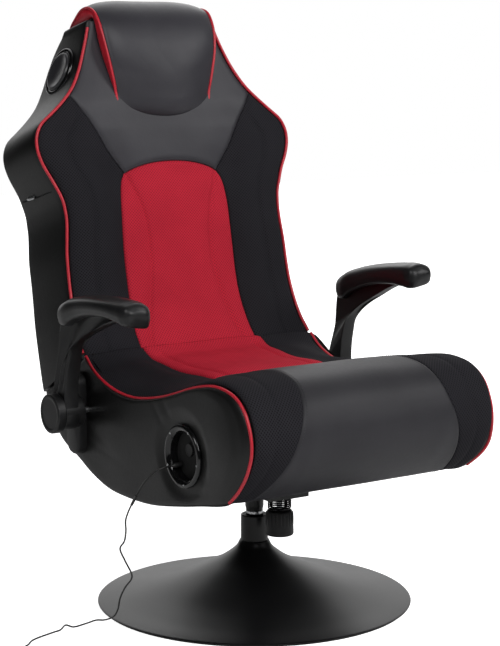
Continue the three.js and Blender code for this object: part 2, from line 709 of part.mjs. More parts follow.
for (const { name, back, up, radius, height, foot } of controls) {
  const shaftHole = rod(clear(SHAFT_RADIUS), cupBack - OVERRUN, cupFloor + OVERRUN);
  cup = cup.subtract(solid(cupPlace(shaftHole, back, up)));
  const control = turned(
    [
      [0, foot],
      [SHAFT_RADIUS, foot],
      [SHAFT_RADIUS, cupFloor + CAP_LIFT],
      [radius, cupFloor + CAP_LIFT],
      [radius, cupFloor + height - CAP_BEVEL],
      [radius - CAP_BEVEL, cupFloor + height],
      [0, cupFloor + height],
    ],
    ROUND / 2,
  );
  named(name, cupPlace(control, back, up), blackPlastic);
}
named("control_cup", shapeOf(cup), glossPlastic);
const ring = sleeve(cupMouth, RING_RADIUS, clear(SEAT_HALF_WIDTH), clear(SEAT_HALF_WIDTH) + RING_WALL);
named("control_ring", cupPlace(ring), glossPlastic);
const circuitX = -shrink(cupBack);
named(
  "amplifier_board",
  block(
    [circuitX, cupY - CIRCUIT_HALF_LENGTH, cupZ - CIRCUIT_HALF_HEIGHT],
    [circuitX + CIRCUIT_WALL, cupY + CIRCUIT_HALF_LENGTH, cupZ + CIRCUIT_HALF_HEIGHT],
  ),
  circuitGreen,
);
const socketX = clear(cupFloor) + SOCKET_LENGTH;
const socket = sleeve(clear(PLUG_TIP_RADIUS), SOCKET_RADIUS, clear(cupFloor), socketX, ROUND / 2);
named("line_socket", cupPlace(socket, SOCKET_BACK, SOCKET_UP), blackPlastic);

// Arms: side bracket, pivot bolt, curved stem with its hub, cap and padded rest
const BRACKET_DEPTH = 24;
const BRACKET_HALF_LENGTH = 22;
const BRACKET_BACK = 26;
const BRACKET_UP = 66;
const BRACKET_DOWN = 86;
const BRACKET_BOSS_RADIUS = 24;
const STEM_WIDTH = 28;
const HUB_DISC_RADIUS = 33;
const CAP_RADIUS = 36;
const CAP_WALL = 18;
const CAP_ROUNDING = 4;
const BOLT_CAP_RADIUS = 10;
const BOLT_CAP_HEIGHT = 5;
const PAD_OFFSET = 5;
const PAD_HALF_WIDTH = 30;
const PAD_REACH = 272;
const PAD_RISE = 216;
const stemIn = ARM_PLANE - STEM_WIDTH / 2;
const stemOut = ARM_PLANE + STEM_WIDTH / 2;
const bracketIn = clear(SEAT_HALF_WIDTH);
const bracketOut = bracketIn + BRACKET_DEPTH;
const padY = (share) => ARM_PAD_LENGTH * (1 - share) - PAD_REACH;

// Pad heights over the pivot along the pad, rear end first, and its width
const padTopShares = [
  [0, 0.885], [0.04, 0.935], [0.12, 0.975], [0.27, 1.01], [0.43, 1.035],
  [0.62, 1.055], [0.8, 1.065], [0.92, 1.062], [0.97, 1.045], [1, 1],
];
const padUnderShares = [
  [0, 0.79], [0.04, 0.755], [0.1, 0.76], [0.18, 0.815], [0.33, 0.878], [0.5, 0.912],
  [0.66, 0.922], [0.76, 0.905], [0.85, 0.868], [0.94, 0.856], [0.975, 0.868], [1, 0.92],
];
const padWidthShares = [
  [0, 0.5], [0.03, 0.75], [0.09, 0.94], [0.3, 0.98], [0.85, 1], [0.94, 0.9], [0.98, 0.72], [1, 0.5],
];
const padTop = reader(smooth(padTopShares, 60));
const padUnder = reader(smooth(padUnderShares, 60));
const padWidth = reader(padWidthShares);
const padSectionShares = [
  [-0.75, 0], [0, 0], [0.75, 0], [0.95, 0.12], [1, 0.35], [0.97, 0.68], [0.75, 0.88],
  [0, 1], [-0.75, 0.88], [-0.97, 0.68], [-1, 0.35], [-0.95, 0.12],
];
const padStationShares = [
  0, 0.02, 0.05, 0.1, 0.18, 0.27, 0.36, 0.45, 0.54, 0.62, 0.7, 0.78, 0.86, 0.92, 0.96, 0.985, 1,
];
const padPoint = (share, across, rise) => new THREE.Vector3(
  PAD_HALF_WIDTH * padWidth(share) * across,
  padY(share),
  PAD_RISE * mix(padUnder(share), padTop(share), rise),
);
const padRings = padStationShares.map(
  (share) => padSectionShares.map(([x, rise]) => padPoint(share, x, rise)),
);

// Stem outline about the pivot: rear edge up, along the pad's underside, then the swept front edge
const stemRearShares = [[0.09, 0.15], [0.056, 0.28], [0.0, 0.45], [-0.019, 0.58], [-0.056, 0.74]];
const stemFrontShares = [
  [-0.93, 0.885], [-0.8, 0.862], [-0.65, 0.822], [-0.49, 0.765], [-0.315, 0.676],
  [-0.227, 0.565], [-0.185, 0.458], [-0.153, 0.356], [-0.115, 0.2],
];
const stemPoint = ([back, up]) => [PAD_RISE * back, PAD_RISE * up];
const padContact = padStationShares
  .filter((share) => share > 0.04 && share < 0.7)
  .map((share) => [padY(share), shrink(PAD_RISE * padUnder(share))]);
const hubEdge = range(9).map((share) => {
  const turn = mix(-1.15, -0.05, share) * Math.PI;
  return [HUB_DISC_RADIUS * Math.cos(turn), HUB_DISC_RADIUS * Math.sin(turn)];
});
const stemOutline = [
  ...smooth(stemRearShares.map(stemPoint), 6),
  ...padContact,
  ...smooth(stemFrontShares.map(stemPoint), 10),
  ...hubEdge,
];
const bracketEnds = [[0, BRACKET_UP - BRACKET_HALF_LENGTH], [1, BRACKET_HALF_LENGTH - BRACKET_DOWN]];
const bracketOutline = bracketEnds.flatMap(
  ([half, z]) => range(8).map((share) => [
    BRACKET_BACK + BRACKET_HALF_LENGTH * Math.cos(Math.PI * (half + share)),
    z + BRACKET_HALF_LENGTH * Math.sin(Math.PI * (half + share)),
  ]),
);
const boltHeadX = clear(stemOut) + BOLT_CAP_HEIGHT;
for (const [word, side] of bothSides) {
  const arm = new THREE.Group();
  arm.position.set(0, armPivotY, armPivotZ);
  arm.rotation.x = side < 0 ? 0 : -LEFT_ARM_LIFT;
  chair.add(arm);
  const bore = solid(outward(rod(clear(ARM_BOLT_RADIUS), insideHalf, stemOut + OVERRUN), side));
  const boss = solid(outward(rod(HUB_DISC_RADIUS, clear(bracketOut), stemIn + OVERRUN), side));
  const stem = solid(sidePlate(stemOutline, ...faces(side, stemIn, stemOut))).add(boss).subtract(bore);
  named("arm_stem_" + word, shapeOf(stem), blackPlastic, arm);
  const cap = turned([
    [0, clear(boltHeadX)],
    [clear(BOLT_CAP_RADIUS), clear(boltHeadX)],
    [clear(BOLT_CAP_RADIUS), clear(stemOut)],
    [CAP_RADIUS, clear(stemOut)],
    [CAP_RADIUS, clear(stemOut) + CAP_WALL - CAP_ROUNDING],
    [CAP_RADIUS - CAP_ROUNDING, clear(stemOut) + CAP_WALL],
    [0, clear(stemOut) + CAP_WALL],
  ]);
  named("arm_cap_" + word, outward(cap, side), blackPlastic, arm);
  named("arm_pad_" + word, loft(padRings).translate(side * (ARM_PLANE + PAD_OFFSET), 0, 0), softPad, arm);
  const bracketBoss = solid(outward(rod(BRACKET_BOSS_RADIUS, bracketIn, bracketOut), side));
  const bracket = solid(sidePlate(bracketOutline, ...faces(side, bracketIn, bracketOut)));
  named("arm_bracket_" + word, pivotPlace(shapeOf(bracket.add(bracketBoss).subtract(bore))), blackPlastic);
  const bolt = turned(
    [
      [0, insideHalf],
      [ARM_BOLT_RADIUS, insideHalf],
      [ARM_BOLT_RADIUS, clear(stemOut)],
      [BOLT_CAP_RADIUS, clear(stemOut)],
      [BOLT_CAP_RADIUS, boltHeadX],
      [0, boltHeadX],
    ],
    ROUND / 2,
  );
  named("arm_bolt_" + word, pivotPlace(outward(bolt, side)), zincSteel);
}

// The back, in its own frame: X across, Y to the rear and Z up along the back from the crease
const back = new THREE.Group();
back.position.set(0, creaseY, creaseZ);
back.rotation.x = -RECLINE;
back.updateMatrix();
chair.add(back);
const intoBack = back.matrix.clone().invert();
const backHingeRooms = hingeRooms.map((room) => room.clone().applyMatrix4(intoBack));
const footSlope = Math.tan(PARTING_SLOPE - RECLINE);

// Outlines of the back against its height: half width, front edge and rear face
const halfShares = [
  [-0.1, 0.905], [0, 0.905], [0.16, 0.881], [0.3, 0.869], [0.43, 0.853], [0.491, 0.891], [0.527, 0.923],
  [0.578, 0.979], [0.617, 1], [0.656, 0.989], [0.6875, 0.947], [0.7125, 0.877], [0.744, 0.793],
  [0.781, 0.712], [0.948, 0.53], [1, 0.491],
];
const frontShares = [
  [-0.1, 0.04], [0, 0.04], [0.078, 0.167], [0.161, 0.253], [0.234, 0.267], [0.29, 0.257], [0.43, 0.22],
  [0.527, 0.22], [0.617, 0.21], [0.7125, 0.187], [0.781, 0.187], [0.897, 0.22], [1, 0.22],
];
const rearFaceShares = [
  [-0.1, 1.1], [-0.07, 1.113], [0.053, 1.213], [0.12, 1.247], [0.417, 1.247], [0.527, 1.187], [0.617, 1.167],
  [0.781, 1.167], [0.948, 1.053], [1, 0.8],
];
const scaled = (shares, size) => shares.map(([up, share]) => [BACK_LENGTH * up, size * share]);
const halfAt = reader(scaled(halfShares, BACK_HALF_WIDTH));
const frontAt = reader(smooth(scaled(frontShares, BACK_THICKNESS), 60));
const rearAt = reader(smooth(scaled(rearFaceShares, BACK_THICKNESS), 60));

// Back shell: an open-fronted tray that holds the board and the cushion and closes behind them
const SHELL_TOP_INSET = 8;
const SHELL_ROUNDING = 14;
const BOARD_PLACE = 48;
const BACK_BOARD_WALL = 10;
const BOARD_TOP_INSET = 40;
const BAY_OVERRUN = 60;
const shellTop = BACK_LENGTH - SHELL_TOP_INSET;
const boardTop = BACK_LENGTH - BOARD_TOP_INSET;
const boardBack = BOARD_PLACE + BACK_BOARD_WALL;
const cornerShares = halfShares.map(([up]) => up).filter((up) => up > 0 && up < 1);
const betweenShares = [0.045, 0.09, 0.23, 0.37];
const shellStations = [...betweenShares, ...cornerShares].map((up) => BACK_LENGTH * up).sort(byAxis);
shellStations.push(shellTop);
function shellRing(s, inset, front, slanted) {
  const half = halfAt(s) - inset;
  const rear = rearAt(slanted ? -BACK_THICKNESS * footSlope : s) - inset;
  const corner = [0, 1 / 2, 1].map((share) => {
    const turn = (share * Math.PI) / 2;
    return [half - SHELL_ROUNDING * (1 - Math.cos(turn)), rear - SHELL_ROUNDING * (1 - Math.sin(turn))];
  });
  const side = [[half, front], ...corner];
  const section = [...side, ...side.slice().reverse().map(([x, n]) => [-x, n])];
  return section.map(([x, n]) => new THREE.Vector3(x, n, slanted ? s - n * footSlope : s));
}
const shellEdge = (s) => frontAt(s) + edgeInset;
const shellBody = loft([
  shellRing(GAP, 0, shellEdge(0), true),
  ...shellStations.map((s) => shellRing(s, 0, shellEdge(s), false)),
]);
const bayTop = shellTop - PANEL_WALL;
const bayStations = [...shellStations.filter((s) => s < bayTop), bayTop];
const cushionBay = loft([
  shellRing(-BAY_OVERRUN, PANEL_WALL, -BAY_OVERRUN, false),
  shellRing(0, PANEL_WALL, -BAY_OVERRUN, false),
  ...bayStations.map((s) => shellRing(s, PANEL_WALL, -BAY_OVERRUN, false)),
]);
const behindBoard = block(
  [-BACK_HALF_WIDTH - OVERRUN, clear(boardBack), -BACK_THICKNESS],
  [BACK_HALF_WIDTH + OVERRUN, 2 * BACK_THICKNESS, shellTop + OVERRUN],
);
const rearBay = loft([
  shellRing(PANEL_WALL, PANEL_WALL, boardBack, true),
  ...bayStations.map((s) => shellRing(s, PANEL_WALL, boardBack, false)),
]);

// Speakers on the slanted sides near the top of the back
const SPEAKER_UP_SHARE = 0.8625;
const SPEAKER_BACK_SHARE = 0.7;
const SHOULDER_SHARE = 0.05;
const SPEAKER_RADIUS = 49;
const SPEAKER_HOLE = 45;
const SPEAKER_MOUTH = 38;
const SPEAKER_RING_WALL = 6;
const SPEAKER_RING_ROUNDING = 2.5;
const FLANGE_WALL = 6;
const BASKET_DEPTH = 22;
const MAGNET_RADIUS = 26;
const MAGNET_DEPTH = 38;
const CONE_DEPTH = 15;
const DOME_RADIUS = 14;
const DOME_HEIGHT = 6;
const speakerUp = BACK_LENGTH * SPEAKER_UP_SHARE;
const speakerBack = BACK_THICKNESS * SPEAKER_BACK_SHARE;
const shoulderRise = BACK_LENGTH * SHOULDER_SHARE;
const shoulderRun = halfAt(speakerUp) - halfAt(speakerUp + shoulderRise);
const shoulderLean = Math.atan2(shoulderRun, shoulderRise);
const frontBay = solid(cushionBay).subtract(solid(behindBoard));
let shell = solid(shellBody).subtract(frontBay).subtract(solid(rearBay));
for (const [word, side] of bothSides) {
  const speaker = new THREE.Group();
  speaker.position.set(side * halfAt(speakerUp), speakerBack, speakerUp);
  speaker.rotation.y = side * (Math.PI / 2 - shoulderLean);
  speaker.updateMatrix();
  back.add(speaker);
  const openings = [
    rod(SPEAKER_HOLE, -2 * PANEL_WALL, 2 * PANEL_WALL, FINE_ROUND),
    rod(clear(MAGNET_RADIUS), -clear(MAGNET_DEPTH), 0),
  ];
  for (const opening of openings) shell = shell.subtract(solid(opening.applyMatrix4(speaker.matrix)));
  named(
    "speaker_ring_" + word,
    turned([
      [SPEAKER_MOUTH, GAP],
      [SPEAKER_RADIUS, GAP],
      [SPEAKER_RADIUS, GAP + SPEAKER_RING_WALL - SPEAKER_RING_ROUNDING],
      [SPEAKER_RADIUS - SPEAKER_RING_ROUNDING, GAP + SPEAKER_RING_WALL],
      [SPEAKER_MOUTH + SPEAKER_RING_ROUNDING, GAP + SPEAKER_RING_WALL],
      [SPEAKER_MOUTH, GAP + SPEAKER_RING_WALL - SPEAKER_RING_ROUNDING],
      [SPEAKER_MOUTH, GAP],
    ]),
    glossPlastic,
    speaker,
  );
  const domePoints = range(4).map((share) => [
    DOME_RADIUS * Math.cos((share * Math.PI) / 2),
    DOME_HEIGHT * Math.sin((share * Math.PI) / 2) - CONE_DEPTH,
  ]);
  named(
    "speaker_driver_" + word,
    turned([
      [0, -MAGNET_DEPTH],
      [MAGNET_RADIUS, -MAGNET_DEPTH],
      [MAGNET_RADIUS, -BASKET_DEPTH],
      [shrink(SPEAKER_HOLE), -FLANGE_WALL],
      [shrink(SPEAKER_HOLE), 0],
      [SPEAKER_MOUTH, 0],
      ...domePoints.slice(0, -1),
      [0, DOME_HEIGHT - CONE_DEPTH],
    ]),
    glossPlastic,
    speaker,
  );
}
named("back_shell", shapeOf(cutFrom(shell, backHingeRooms)), sideLeather, back);

// Back board, standing behind the cushion on the hinge leaves
const boardStations = [...shellStations.filter((s) => s < boardTop), boardTop];
const boardFoot = clear(LEAF_WALL) - BOARD_PLACE * footSlope;
const boardSide = [[halfAt(0), boardFoot], ...boardStations.map((s) => [halfAt(s), s])].map(
  ([half, s]) => [half - clear(PANEL_WALL), s],
);
const boardOutline = [...boardSide, ...boardSide.slice().reverse().map(([x, s]) => [-x, s])];
const boardShape = new THREE.Shape(boardOutline.map(([x, s]) => new THREE.Vector2(x, s)));
const boardPlate = new THREE.ExtrudeGeometry(boardShape, { depth: BACK_BOARD_WALL, bevelEnabled: false })
  .rotateX(Math.PI / 2)
  .translate(0, boardBack, 0);
named("back_board", shapeOf(cutFrom(solid(boardPlate), backHingeRooms)), plywood, back);

// Back cushion: bolsters at the sides, a sewn channel beside each and a flatter yoke at the top
const BACK_CROWN = 18;
const backAcrossShares = mirrored([
  [-1, 0], [-0.94, 0.5], [-0.84, 0.9], [-0.72, 1], [-0.6, 0.82],
  [-0.51, 0.28], [-0.45, 0.22], [-0.36, 0.42], [0, 0.52],
]);
const backAlongShares = [
  [-0.1, 0.3], [0, 0.35], [0.1, 0.8], [0.2, 1], [0.5, 1], [0.64, 0.9], [0.73, 0.55], [0.8, 0.3], [1, 0.2],
];
const backCrownAt = reader(smooth(scaled(backAlongShares, BACK_CROWN), 40));
function backCushionRing(s, slanted) {
  const half = halfAt(s) - clear(PANEL_WALL);
  const front = frontAt(s) + CUSHION_DROP;
  const section = backAcrossShares.map(([x, up]) => [x * half, front - up * backCrownAt(s)]);
  section.push([half, shrink(BOARD_PLACE)], [-half, shrink(BOARD_PLACE)]);
  return section.map(([x, n]) => new THREE.Vector3(x, n, slanted ? s - n * footSlope : s));
}
const backCushionBody = loft([
  backCushionRing(GAP, true),
  ...shellStations.filter((s) => s < shrink(bayTop)).map((s) => backCushionRing(s, false)),
  backCushionRing(shrink(bayTop), false),
]);
named("back_cushion", shapeOf(cutFrom(solid(backCushionBody), backHingeRooms)), redMesh, back);

// Piping along the front edges of the back, up to where the pillow's hood covers it
const PIPING_TOP_INSET = 28;
for (const [word, side] of bothSides) {
  const route = shellStations.filter((s) => s < BACK_LENGTH - PIPING_TOP_INSET).map(
    (s) => new THREE.Vector3(side * (halfAt(s) - PANEL_WALL / 2), frontAt(s), s),
  );
  named("back_piping_" + word, tube(route, PIPING_RADIUS, PIPE_SIDES, route.length - 1), redPiping, back);
}

// Head pillow: a hood over the top of the back, thin at its foot and full at the top
const PILLOW_FOOT_HALF = 103;
const PILLOW_TOP_HALF = 133;
const PILLOW_CLEARANCE = 3;
const pillowMiddleShares = [
  [0.13, 0.744], [0.093, 0.759], [0, 0.797], [-0.05, 0.859], [-0.05, 0.922], [0.01, 0.984],
  [0.17, 1.037], [0.4, 1.065], [0.633, 1.051], [0.787, 1.02], [0.84, 1],
];
const pillowEdgeShares = [
  [0.13, 0.744], [0.127, 0.759], [0.11, 0.797], [0.08, 0.859], [0.05, 0.922], [0.08, 0.977],
  [0.2, 1.015], [0.4, 1.034], [0.61, 1.02], [0.767, 1.003], [0.827, 0.996],
];
const pillowRestShares = [0.948, 0.859, 0.781, 0.744];
const [[, pillowFootShare]] = pillowMiddleShares;
const hoodZ = clear(shellTop);
const pillowRest = [hoodZ, ...pillowRestShares.map((up) => BACK_LENGTH * up)].map(
  (s) => [frontAt(s) - PILLOW_CLEARANCE, s],
);
const pillowRings = range(12).map((share) => {
  const turn = Math.PI * share;
  const fullness = Math.sqrt(Math.sin(turn));
  const outside = pillowMiddleShares.map(([n, up], i) => {
    const [edgeN, edgeUp] = pillowEdgeShares[i];
    return [BACK_THICKNESS * mix(edgeN, n, fullness), BACK_LENGTH * mix(edgeUp, up, fullness)];
  });
  const [lastN] = outside[outside.length - 1];
  return [...outside, [lastN - OVERRUN, hoodZ], ...pillowRest].map(([n, s]) => {
    const widening = limit((s / BACK_LENGTH - pillowFootShare) / (1 - pillowFootShare));
    return new THREE.Vector3(-Math.cos(turn) * mix(PILLOW_FOOT_HALF, PILLOW_TOP_HALF, widening), n, s);
  });
});
named("head_pillow", loft(pillowRings), greyLeather, back);

// The origin goes under the middle of the chair's footprint, measured without its cord.
const footprint = new THREE.Box3().setFromObject(chair, true);
chair.position.y = -footprint.getCenter(new THREE.Vector3()).y;

// Audio lead: plug, hanging and lying run, coil of the spare length and far plug
const CORD_RADIUS = 1.5;
const CORD_SIDES = 8;
const CORD_STEPS = 64;
const PLUG_RADIUS = 4.5;
const PLUG_LENGTH = 21.5;
const COIL_RADIUS = 21.5;
const COIL_STEPS = 24;
const COIL_SIDES = 6;
const COIL_LAYERS = 2;
const COIL_PITCH = 3.6;
const COIL_LAYER_TURNS = 2.5;
const TAIL_TURNS = 0.42;
const TAIL_REACH = 12;
const END_LENGTH = 25;
const END_TIP_LENGTH = 14;
const cordRoute = [
  [-268, -139, 312], [-281, -140, 311], [-292, -137, 308], [-300, -129, 299], [-302, -115, 288],
  [-302, -93, 268], [-301, -71, 243], [-300, -51, 220], [-299, -39, 200], [-298, -38, 182],
  [-297, -31, 162], [-296, -14, 144], [-296, -31, 126], [-296, -54, 104], [-297, -31, 78],
  [-298, -15, 54], [-298, -8, 34], [-298, 3, 20], [-299, 20, 9.5], [-303, 36, 3.4], [-310, 47, 1.8],
  [-338, 40, 1.6], [-364, 36, 1.6], [-369, 53, 1.6], [-392, 33, 1.6], [-406, 29, 1.6],
  [-458, 10, 1.6], [-478, -9, 1.6], [-515, -28, 1.6], [-548, -50, 1.6], [-552, -53, 1.6],
].map((point) => new THREE.Vector3(...point));
const plugX = clear(socketX);
const plug = turned(
  [
    [0, shrink(cupFloor) + 2 * GAP],
    [PLUG_TIP_RADIUS, shrink(cupFloor) + 2 * GAP],
    [PLUG_TIP_RADIUS, plugX],
    [PLUG_RADIUS, plugX],
    [PLUG_RADIUS, plugX + PLUG_LENGTH],
    [0, plugX + PLUG_LENGTH],
  ],
  ROUND / 2,
);
named("cord_plug", cupPlace(plug, SOCKET_BACK, SOCKET_UP), blackPlastic);
named("cord_run", tube(cordRoute, CORD_RADIUS, CORD_SIDES, CORD_STEPS), blackRubber);

// The spare length winds in and out again in two layers, then runs off to the far plug.
const [routeBefore, routeEnd] = cordRoute.slice(-2);
const coilDirection = routeEnd.clone().sub(routeBefore).normalize();
const coilAngle = Math.atan2(-coilDirection.x, coilDirection.y);
const coilStart = routeEnd.clone().addScaledVector(coilDirection, GAP);
const coilLead = 2 * CORD_RADIUS;
const coilTurns = COIL_LAYERS * COIL_LAYER_TURNS;
const coilCentre = coilStart
  .clone()
  .addScaledVector(coilDirection, coilLead)
  .sub(new THREE.Vector3(COIL_RADIUS * Math.cos(coilAngle), COIL_RADIUS * Math.sin(coilAngle), 0));
const ease = (share) => limit(share) ** 2 * (3 - 2 * limit(share));
const COIL_CLIMB_TURNS = 0.5;
function coilPoint(turns) {
  const taken = limit(turns / coilTurns) * coilTurns;
  const inward = COIL_LAYER_TURNS - Math.abs(taken - COIL_LAYER_TURNS);
  const climb = ease((turns - COIL_LAYER_TURNS) / COIL_CLIMB_TURNS + 1 / 2);
  const off = ease((turns - coilTurns) / TAIL_TURNS);
  const radius = COIL_RADIUS - COIL_PITCH * inward + TAIL_REACH * off;
  const angle = coilAngle + 2 * Math.PI * turns;
  const layerZ = mix(CORD_RADIUS, CORD_RADIUS + COIL_PITCH, climb);
  return new THREE.Vector3(
    coilCentre.x + radius * Math.cos(angle),
    coilCentre.y + radius * Math.sin(angle),
    mix(layerZ, PLUG_RADIUS, off),
  );
}
const allTurns = coilTurns + TAIL_TURNS;
const coilWound = range(Math.round(allTurns * COIL_STEPS)).map((share) => coilPoint(allTurns * share));
const tailEnd = coilWound[coilWound.length - 1];
const tailAngle = coilAngle + 2 * Math.PI * (allTurns + 1 / 4);
const tailDirection = new THREE.Vector3(Math.cos(tailAngle), Math.sin(tailAngle), 0);
const coilRoute = [coilStart, ...coilWound, tailEnd.clone().addScaledVector(tailDirection, coilLead)];
named("cord_coil", wound(coilRoute, CORD_RADIUS, COIL_SIDES), blackRubber);
const coilGap = selfGap(coilRoute, CORD_RADIUS, COIL_STEPS);
console.log("coil, least gap to itself:", coilGap.toFixed(2));
const farPlug = turned(
  [
    [0, GAP],
    [PLUG_RADIUS, GAP],
    [PLUG_RADIUS, END_LENGTH],
    [PLUG_TIP_RADIUS, END_LENGTH],
    [PLUG_TIP_RADIUS, END_LENGTH + END_TIP_LENGTH],
    [0, END_LENGTH + END_TIP_LENGTH],
  ],
  ROUND / 2,
);
const plugPlace = coilRoute[coilRoute.length - 1];
farPlug.rotateY(Math.PI / 2).rotateZ(tailAngle).translate(...plugPlace.toArray());
named("cord_end", farPlug, blackPlastic);

export default chair;
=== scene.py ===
# Gaming rocker chair, dressed piece by piece in the order in which the chair is put together.
# Sizes are in millimetres in the chair's own frame: the sitter faces -Y, the sitter's right is -X.
import math

import bpy
import numpy as np
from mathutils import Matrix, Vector


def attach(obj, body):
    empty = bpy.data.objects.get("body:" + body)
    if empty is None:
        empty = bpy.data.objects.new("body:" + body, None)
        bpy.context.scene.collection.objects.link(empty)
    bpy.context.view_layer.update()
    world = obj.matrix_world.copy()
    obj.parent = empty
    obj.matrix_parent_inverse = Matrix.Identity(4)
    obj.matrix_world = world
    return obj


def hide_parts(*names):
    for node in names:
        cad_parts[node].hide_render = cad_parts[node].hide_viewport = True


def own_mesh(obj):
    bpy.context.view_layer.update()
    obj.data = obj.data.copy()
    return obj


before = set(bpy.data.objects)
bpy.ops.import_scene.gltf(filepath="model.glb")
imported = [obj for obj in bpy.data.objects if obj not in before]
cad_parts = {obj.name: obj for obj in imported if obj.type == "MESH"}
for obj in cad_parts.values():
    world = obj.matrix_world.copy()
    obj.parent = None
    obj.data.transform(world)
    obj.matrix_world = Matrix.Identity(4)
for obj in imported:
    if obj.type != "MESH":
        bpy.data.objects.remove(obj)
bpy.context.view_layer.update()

# Camera: a long lens at eye height, off the chair's front right.
eye = bpy.data.objects.new("eye", bpy.data.cameras.new("eye"))
eye.location = (-1.911, -2.8086, 1.005)
eye.rotation_euler = (Vector((-0.0066, -0.044, 0.518)) - eye.location).to_track_quat("-Z", "Y").to_euler()
eye.data.lens = 103.9
eye.data.sensor_width = 36
bpy.context.scene.collection.objects.link(eye)
bpy.context.scene.camera = eye

# Floor and light: a pale studio floor and sweep, a broad lamp from the left and softer ones.
# The sweep is white for the eye, for gloss and for glass. The rest of the room is a dark wall and
# ceiling out of the camera's sight, so that black covers stay black where they face it.


def hue(text):
    """An sRGB hex colour as linear red, green, blue and alpha."""
    parts = [int(text[i:i + 2], 16) / 255 for i in (1, 3, 5)]
    return [*(c / 12.92 if c <= 0.04045 else ((c + 0.055) / 1.055) ** 2.4 for c in parts), 1.0]


def add(tree, kind, inputs=None, stops=(), **settings):
    """Adds a node with its settings, its colour stops, and its inputs as values or (node, output) links."""
    made = tree.nodes.new(kind)
    for key, value in settings.items():
        setattr(made, key, value)
    for k, (position, colour) in enumerate(stops):
        made.color_ramp.elements[k].position = position
        made.color_ramp.elements[k].color = hue(colour)
    for key, value in (inputs or {}).items():
        if isinstance(value, tuple) and isinstance(value[0], bpy.types.Node):
            tree.links.new(value[0].outputs[value[1]], made.inputs[key])
        else:
            made.inputs[key].default_value = value
    return made


def blank(name):
    """A new material with an empty node tree."""
    finish = bpy.data.materials.new(name)
    finish.use_nodes = True
    finish.node_tree.nodes.clear()
    return finish, finish.node_tree


studio = bpy.data.worlds.new("studio")
studio.use_nodes = True
studio.node_tree.nodes.clear()
sight = add(studio.node_tree, "ShaderNodeLightPath")
either = {0: (sight, "Is Camera Ray"), 1: (sight, "Is Glossy Ray")}
seen = add(studio.node_tree, "ShaderNodeMath", either, operation="ADD")
either = {0: (seen, "Value"), 1: (sight, "Is Transmission Ray")}
shown = add(studio.node_tree, "ShaderNodeMath", either, operation="ADD")
level = add(studio.node_tree, "ShaderNodeMapRange", {"Value": (shown, "Value"), "To Min": 0.8, "To Max": 1.0})
sky = add(studio.node_tree, "ShaderNodeBackground", {"Color": (1, 1, 1, 1), "Strength": (level, "Result")})
add(studio.node_tree, "ShaderNodeOutputWorld", {"Surface": (sky, "Background")})
bpy.context.scene.world = studio

for title, place, power, size in (
    ("left_lamp", (-2.8, -1.4, 2.9), 31, 1.3),
    ("front_lamp", (-0.6, -3.6, 3.0), 92, 2.0),
    ("right_lamp", (2.3, -2.4, 2.5), 52, 1.8),
    ("rear_lamp", (1.7, 2.4, 2.7), 21, 1.8),
):
    lamp = bpy.data.objects.new(title, bpy.data.lights.new(title, "AREA"))
    lamp.data.energy = power
    lamp.data.size = size
    lamp.location = place
    lamp.rotation_euler = (Vector((0, 0, 0.5)) - lamp.location).to_track_quat("-Z", "Y").to_euler()
    bpy.context.scene.collection.objects.link(lamp)

floor_paper, tree = blank("white_background_paper")
sight = add(tree, "ShaderNodeLightPath")
matt = add(tree, "ShaderNodeBsdfDiffuse", {"Color": hue("#F4F4F4")})
glow = add(tree, "ShaderNodeEmission", {"Color": (1, 1, 1, 1), "Strength": 0.92})
both = add(tree, "ShaderNodeAddShader", {0: (matt, "BSDF"), 1: (glow, "Emission")})
paper = add(tree, "ShaderNodeMixShader", {"Fac": (sight, "Is Camera Ray"), 1: (matt, "BSDF"), 2: (both, "Shader")})
add(tree, "ShaderNodeOutputMaterial", {"Surface": (paper, "Shader")})
room_paint, tree = blank("dark_wall_paint")
matt = add(tree, "ShaderNodeBsdfDiffuse", {"Color": hue("#2B2B2B")})
add(tree, "ShaderNodeOutputMaterial", {"Surface": (matt, "BSDF")})
FLOOR_REACH, ROOM_STEPS, ROOM_RADIUS, ROOM_HEIGHT = 9, 52, 6, 4.5
floor_points = [(FLOOR_REACH * x, FLOOR_REACH * y, 0) for x, y in ((-1, -1), (1, -1), (1, 1), (-1, 1))]
room_turns = [math.radians(97.4 + 276 * i / ROOM_STEPS) for i in range(ROOM_STEPS + 1)]
room_points = [(ROOM_RADIUS * math.cos(t), ROOM_RADIUS * math.sin(t), z) for t in room_turns for z in (0, ROOM_HEIGHT)]
room_points.append((0, 0, ROOM_HEIGHT))
room_faces = [(2 * i, 2 * i + 1, 2 * i + 3, 2 * i + 2) for i in range(ROOM_STEPS)]
room_faces += [(2 * i + 1, len(room_points) - 1, 2 * i + 3) for i in range(ROOM_STEPS)]
for title, points, faces, finish in (
    ("floor", floor_points, [(0, 1, 2, 3)], floor_paper), ("dark_room", room_points, room_faces, room_paint),
):
    mesh = bpy.data.meshes.new(title)
    mesh.from_pydata(points, [], faces)
    mesh.materials.append(finish)
    backdrop = bpy.data.objects.new(title, mesh)
    backdrop.visible_camera = title == "floor"
    bpy.context.scene.collection.objects.link(backdrop)
bpy.context.scene.view_settings.view_transform = "Standard"

# Audio lead: a thin black PVC cord from the control recess down to the floor and out of the view.
# Its spare length is wound in a small round coil with a slim moulded plug on each end.


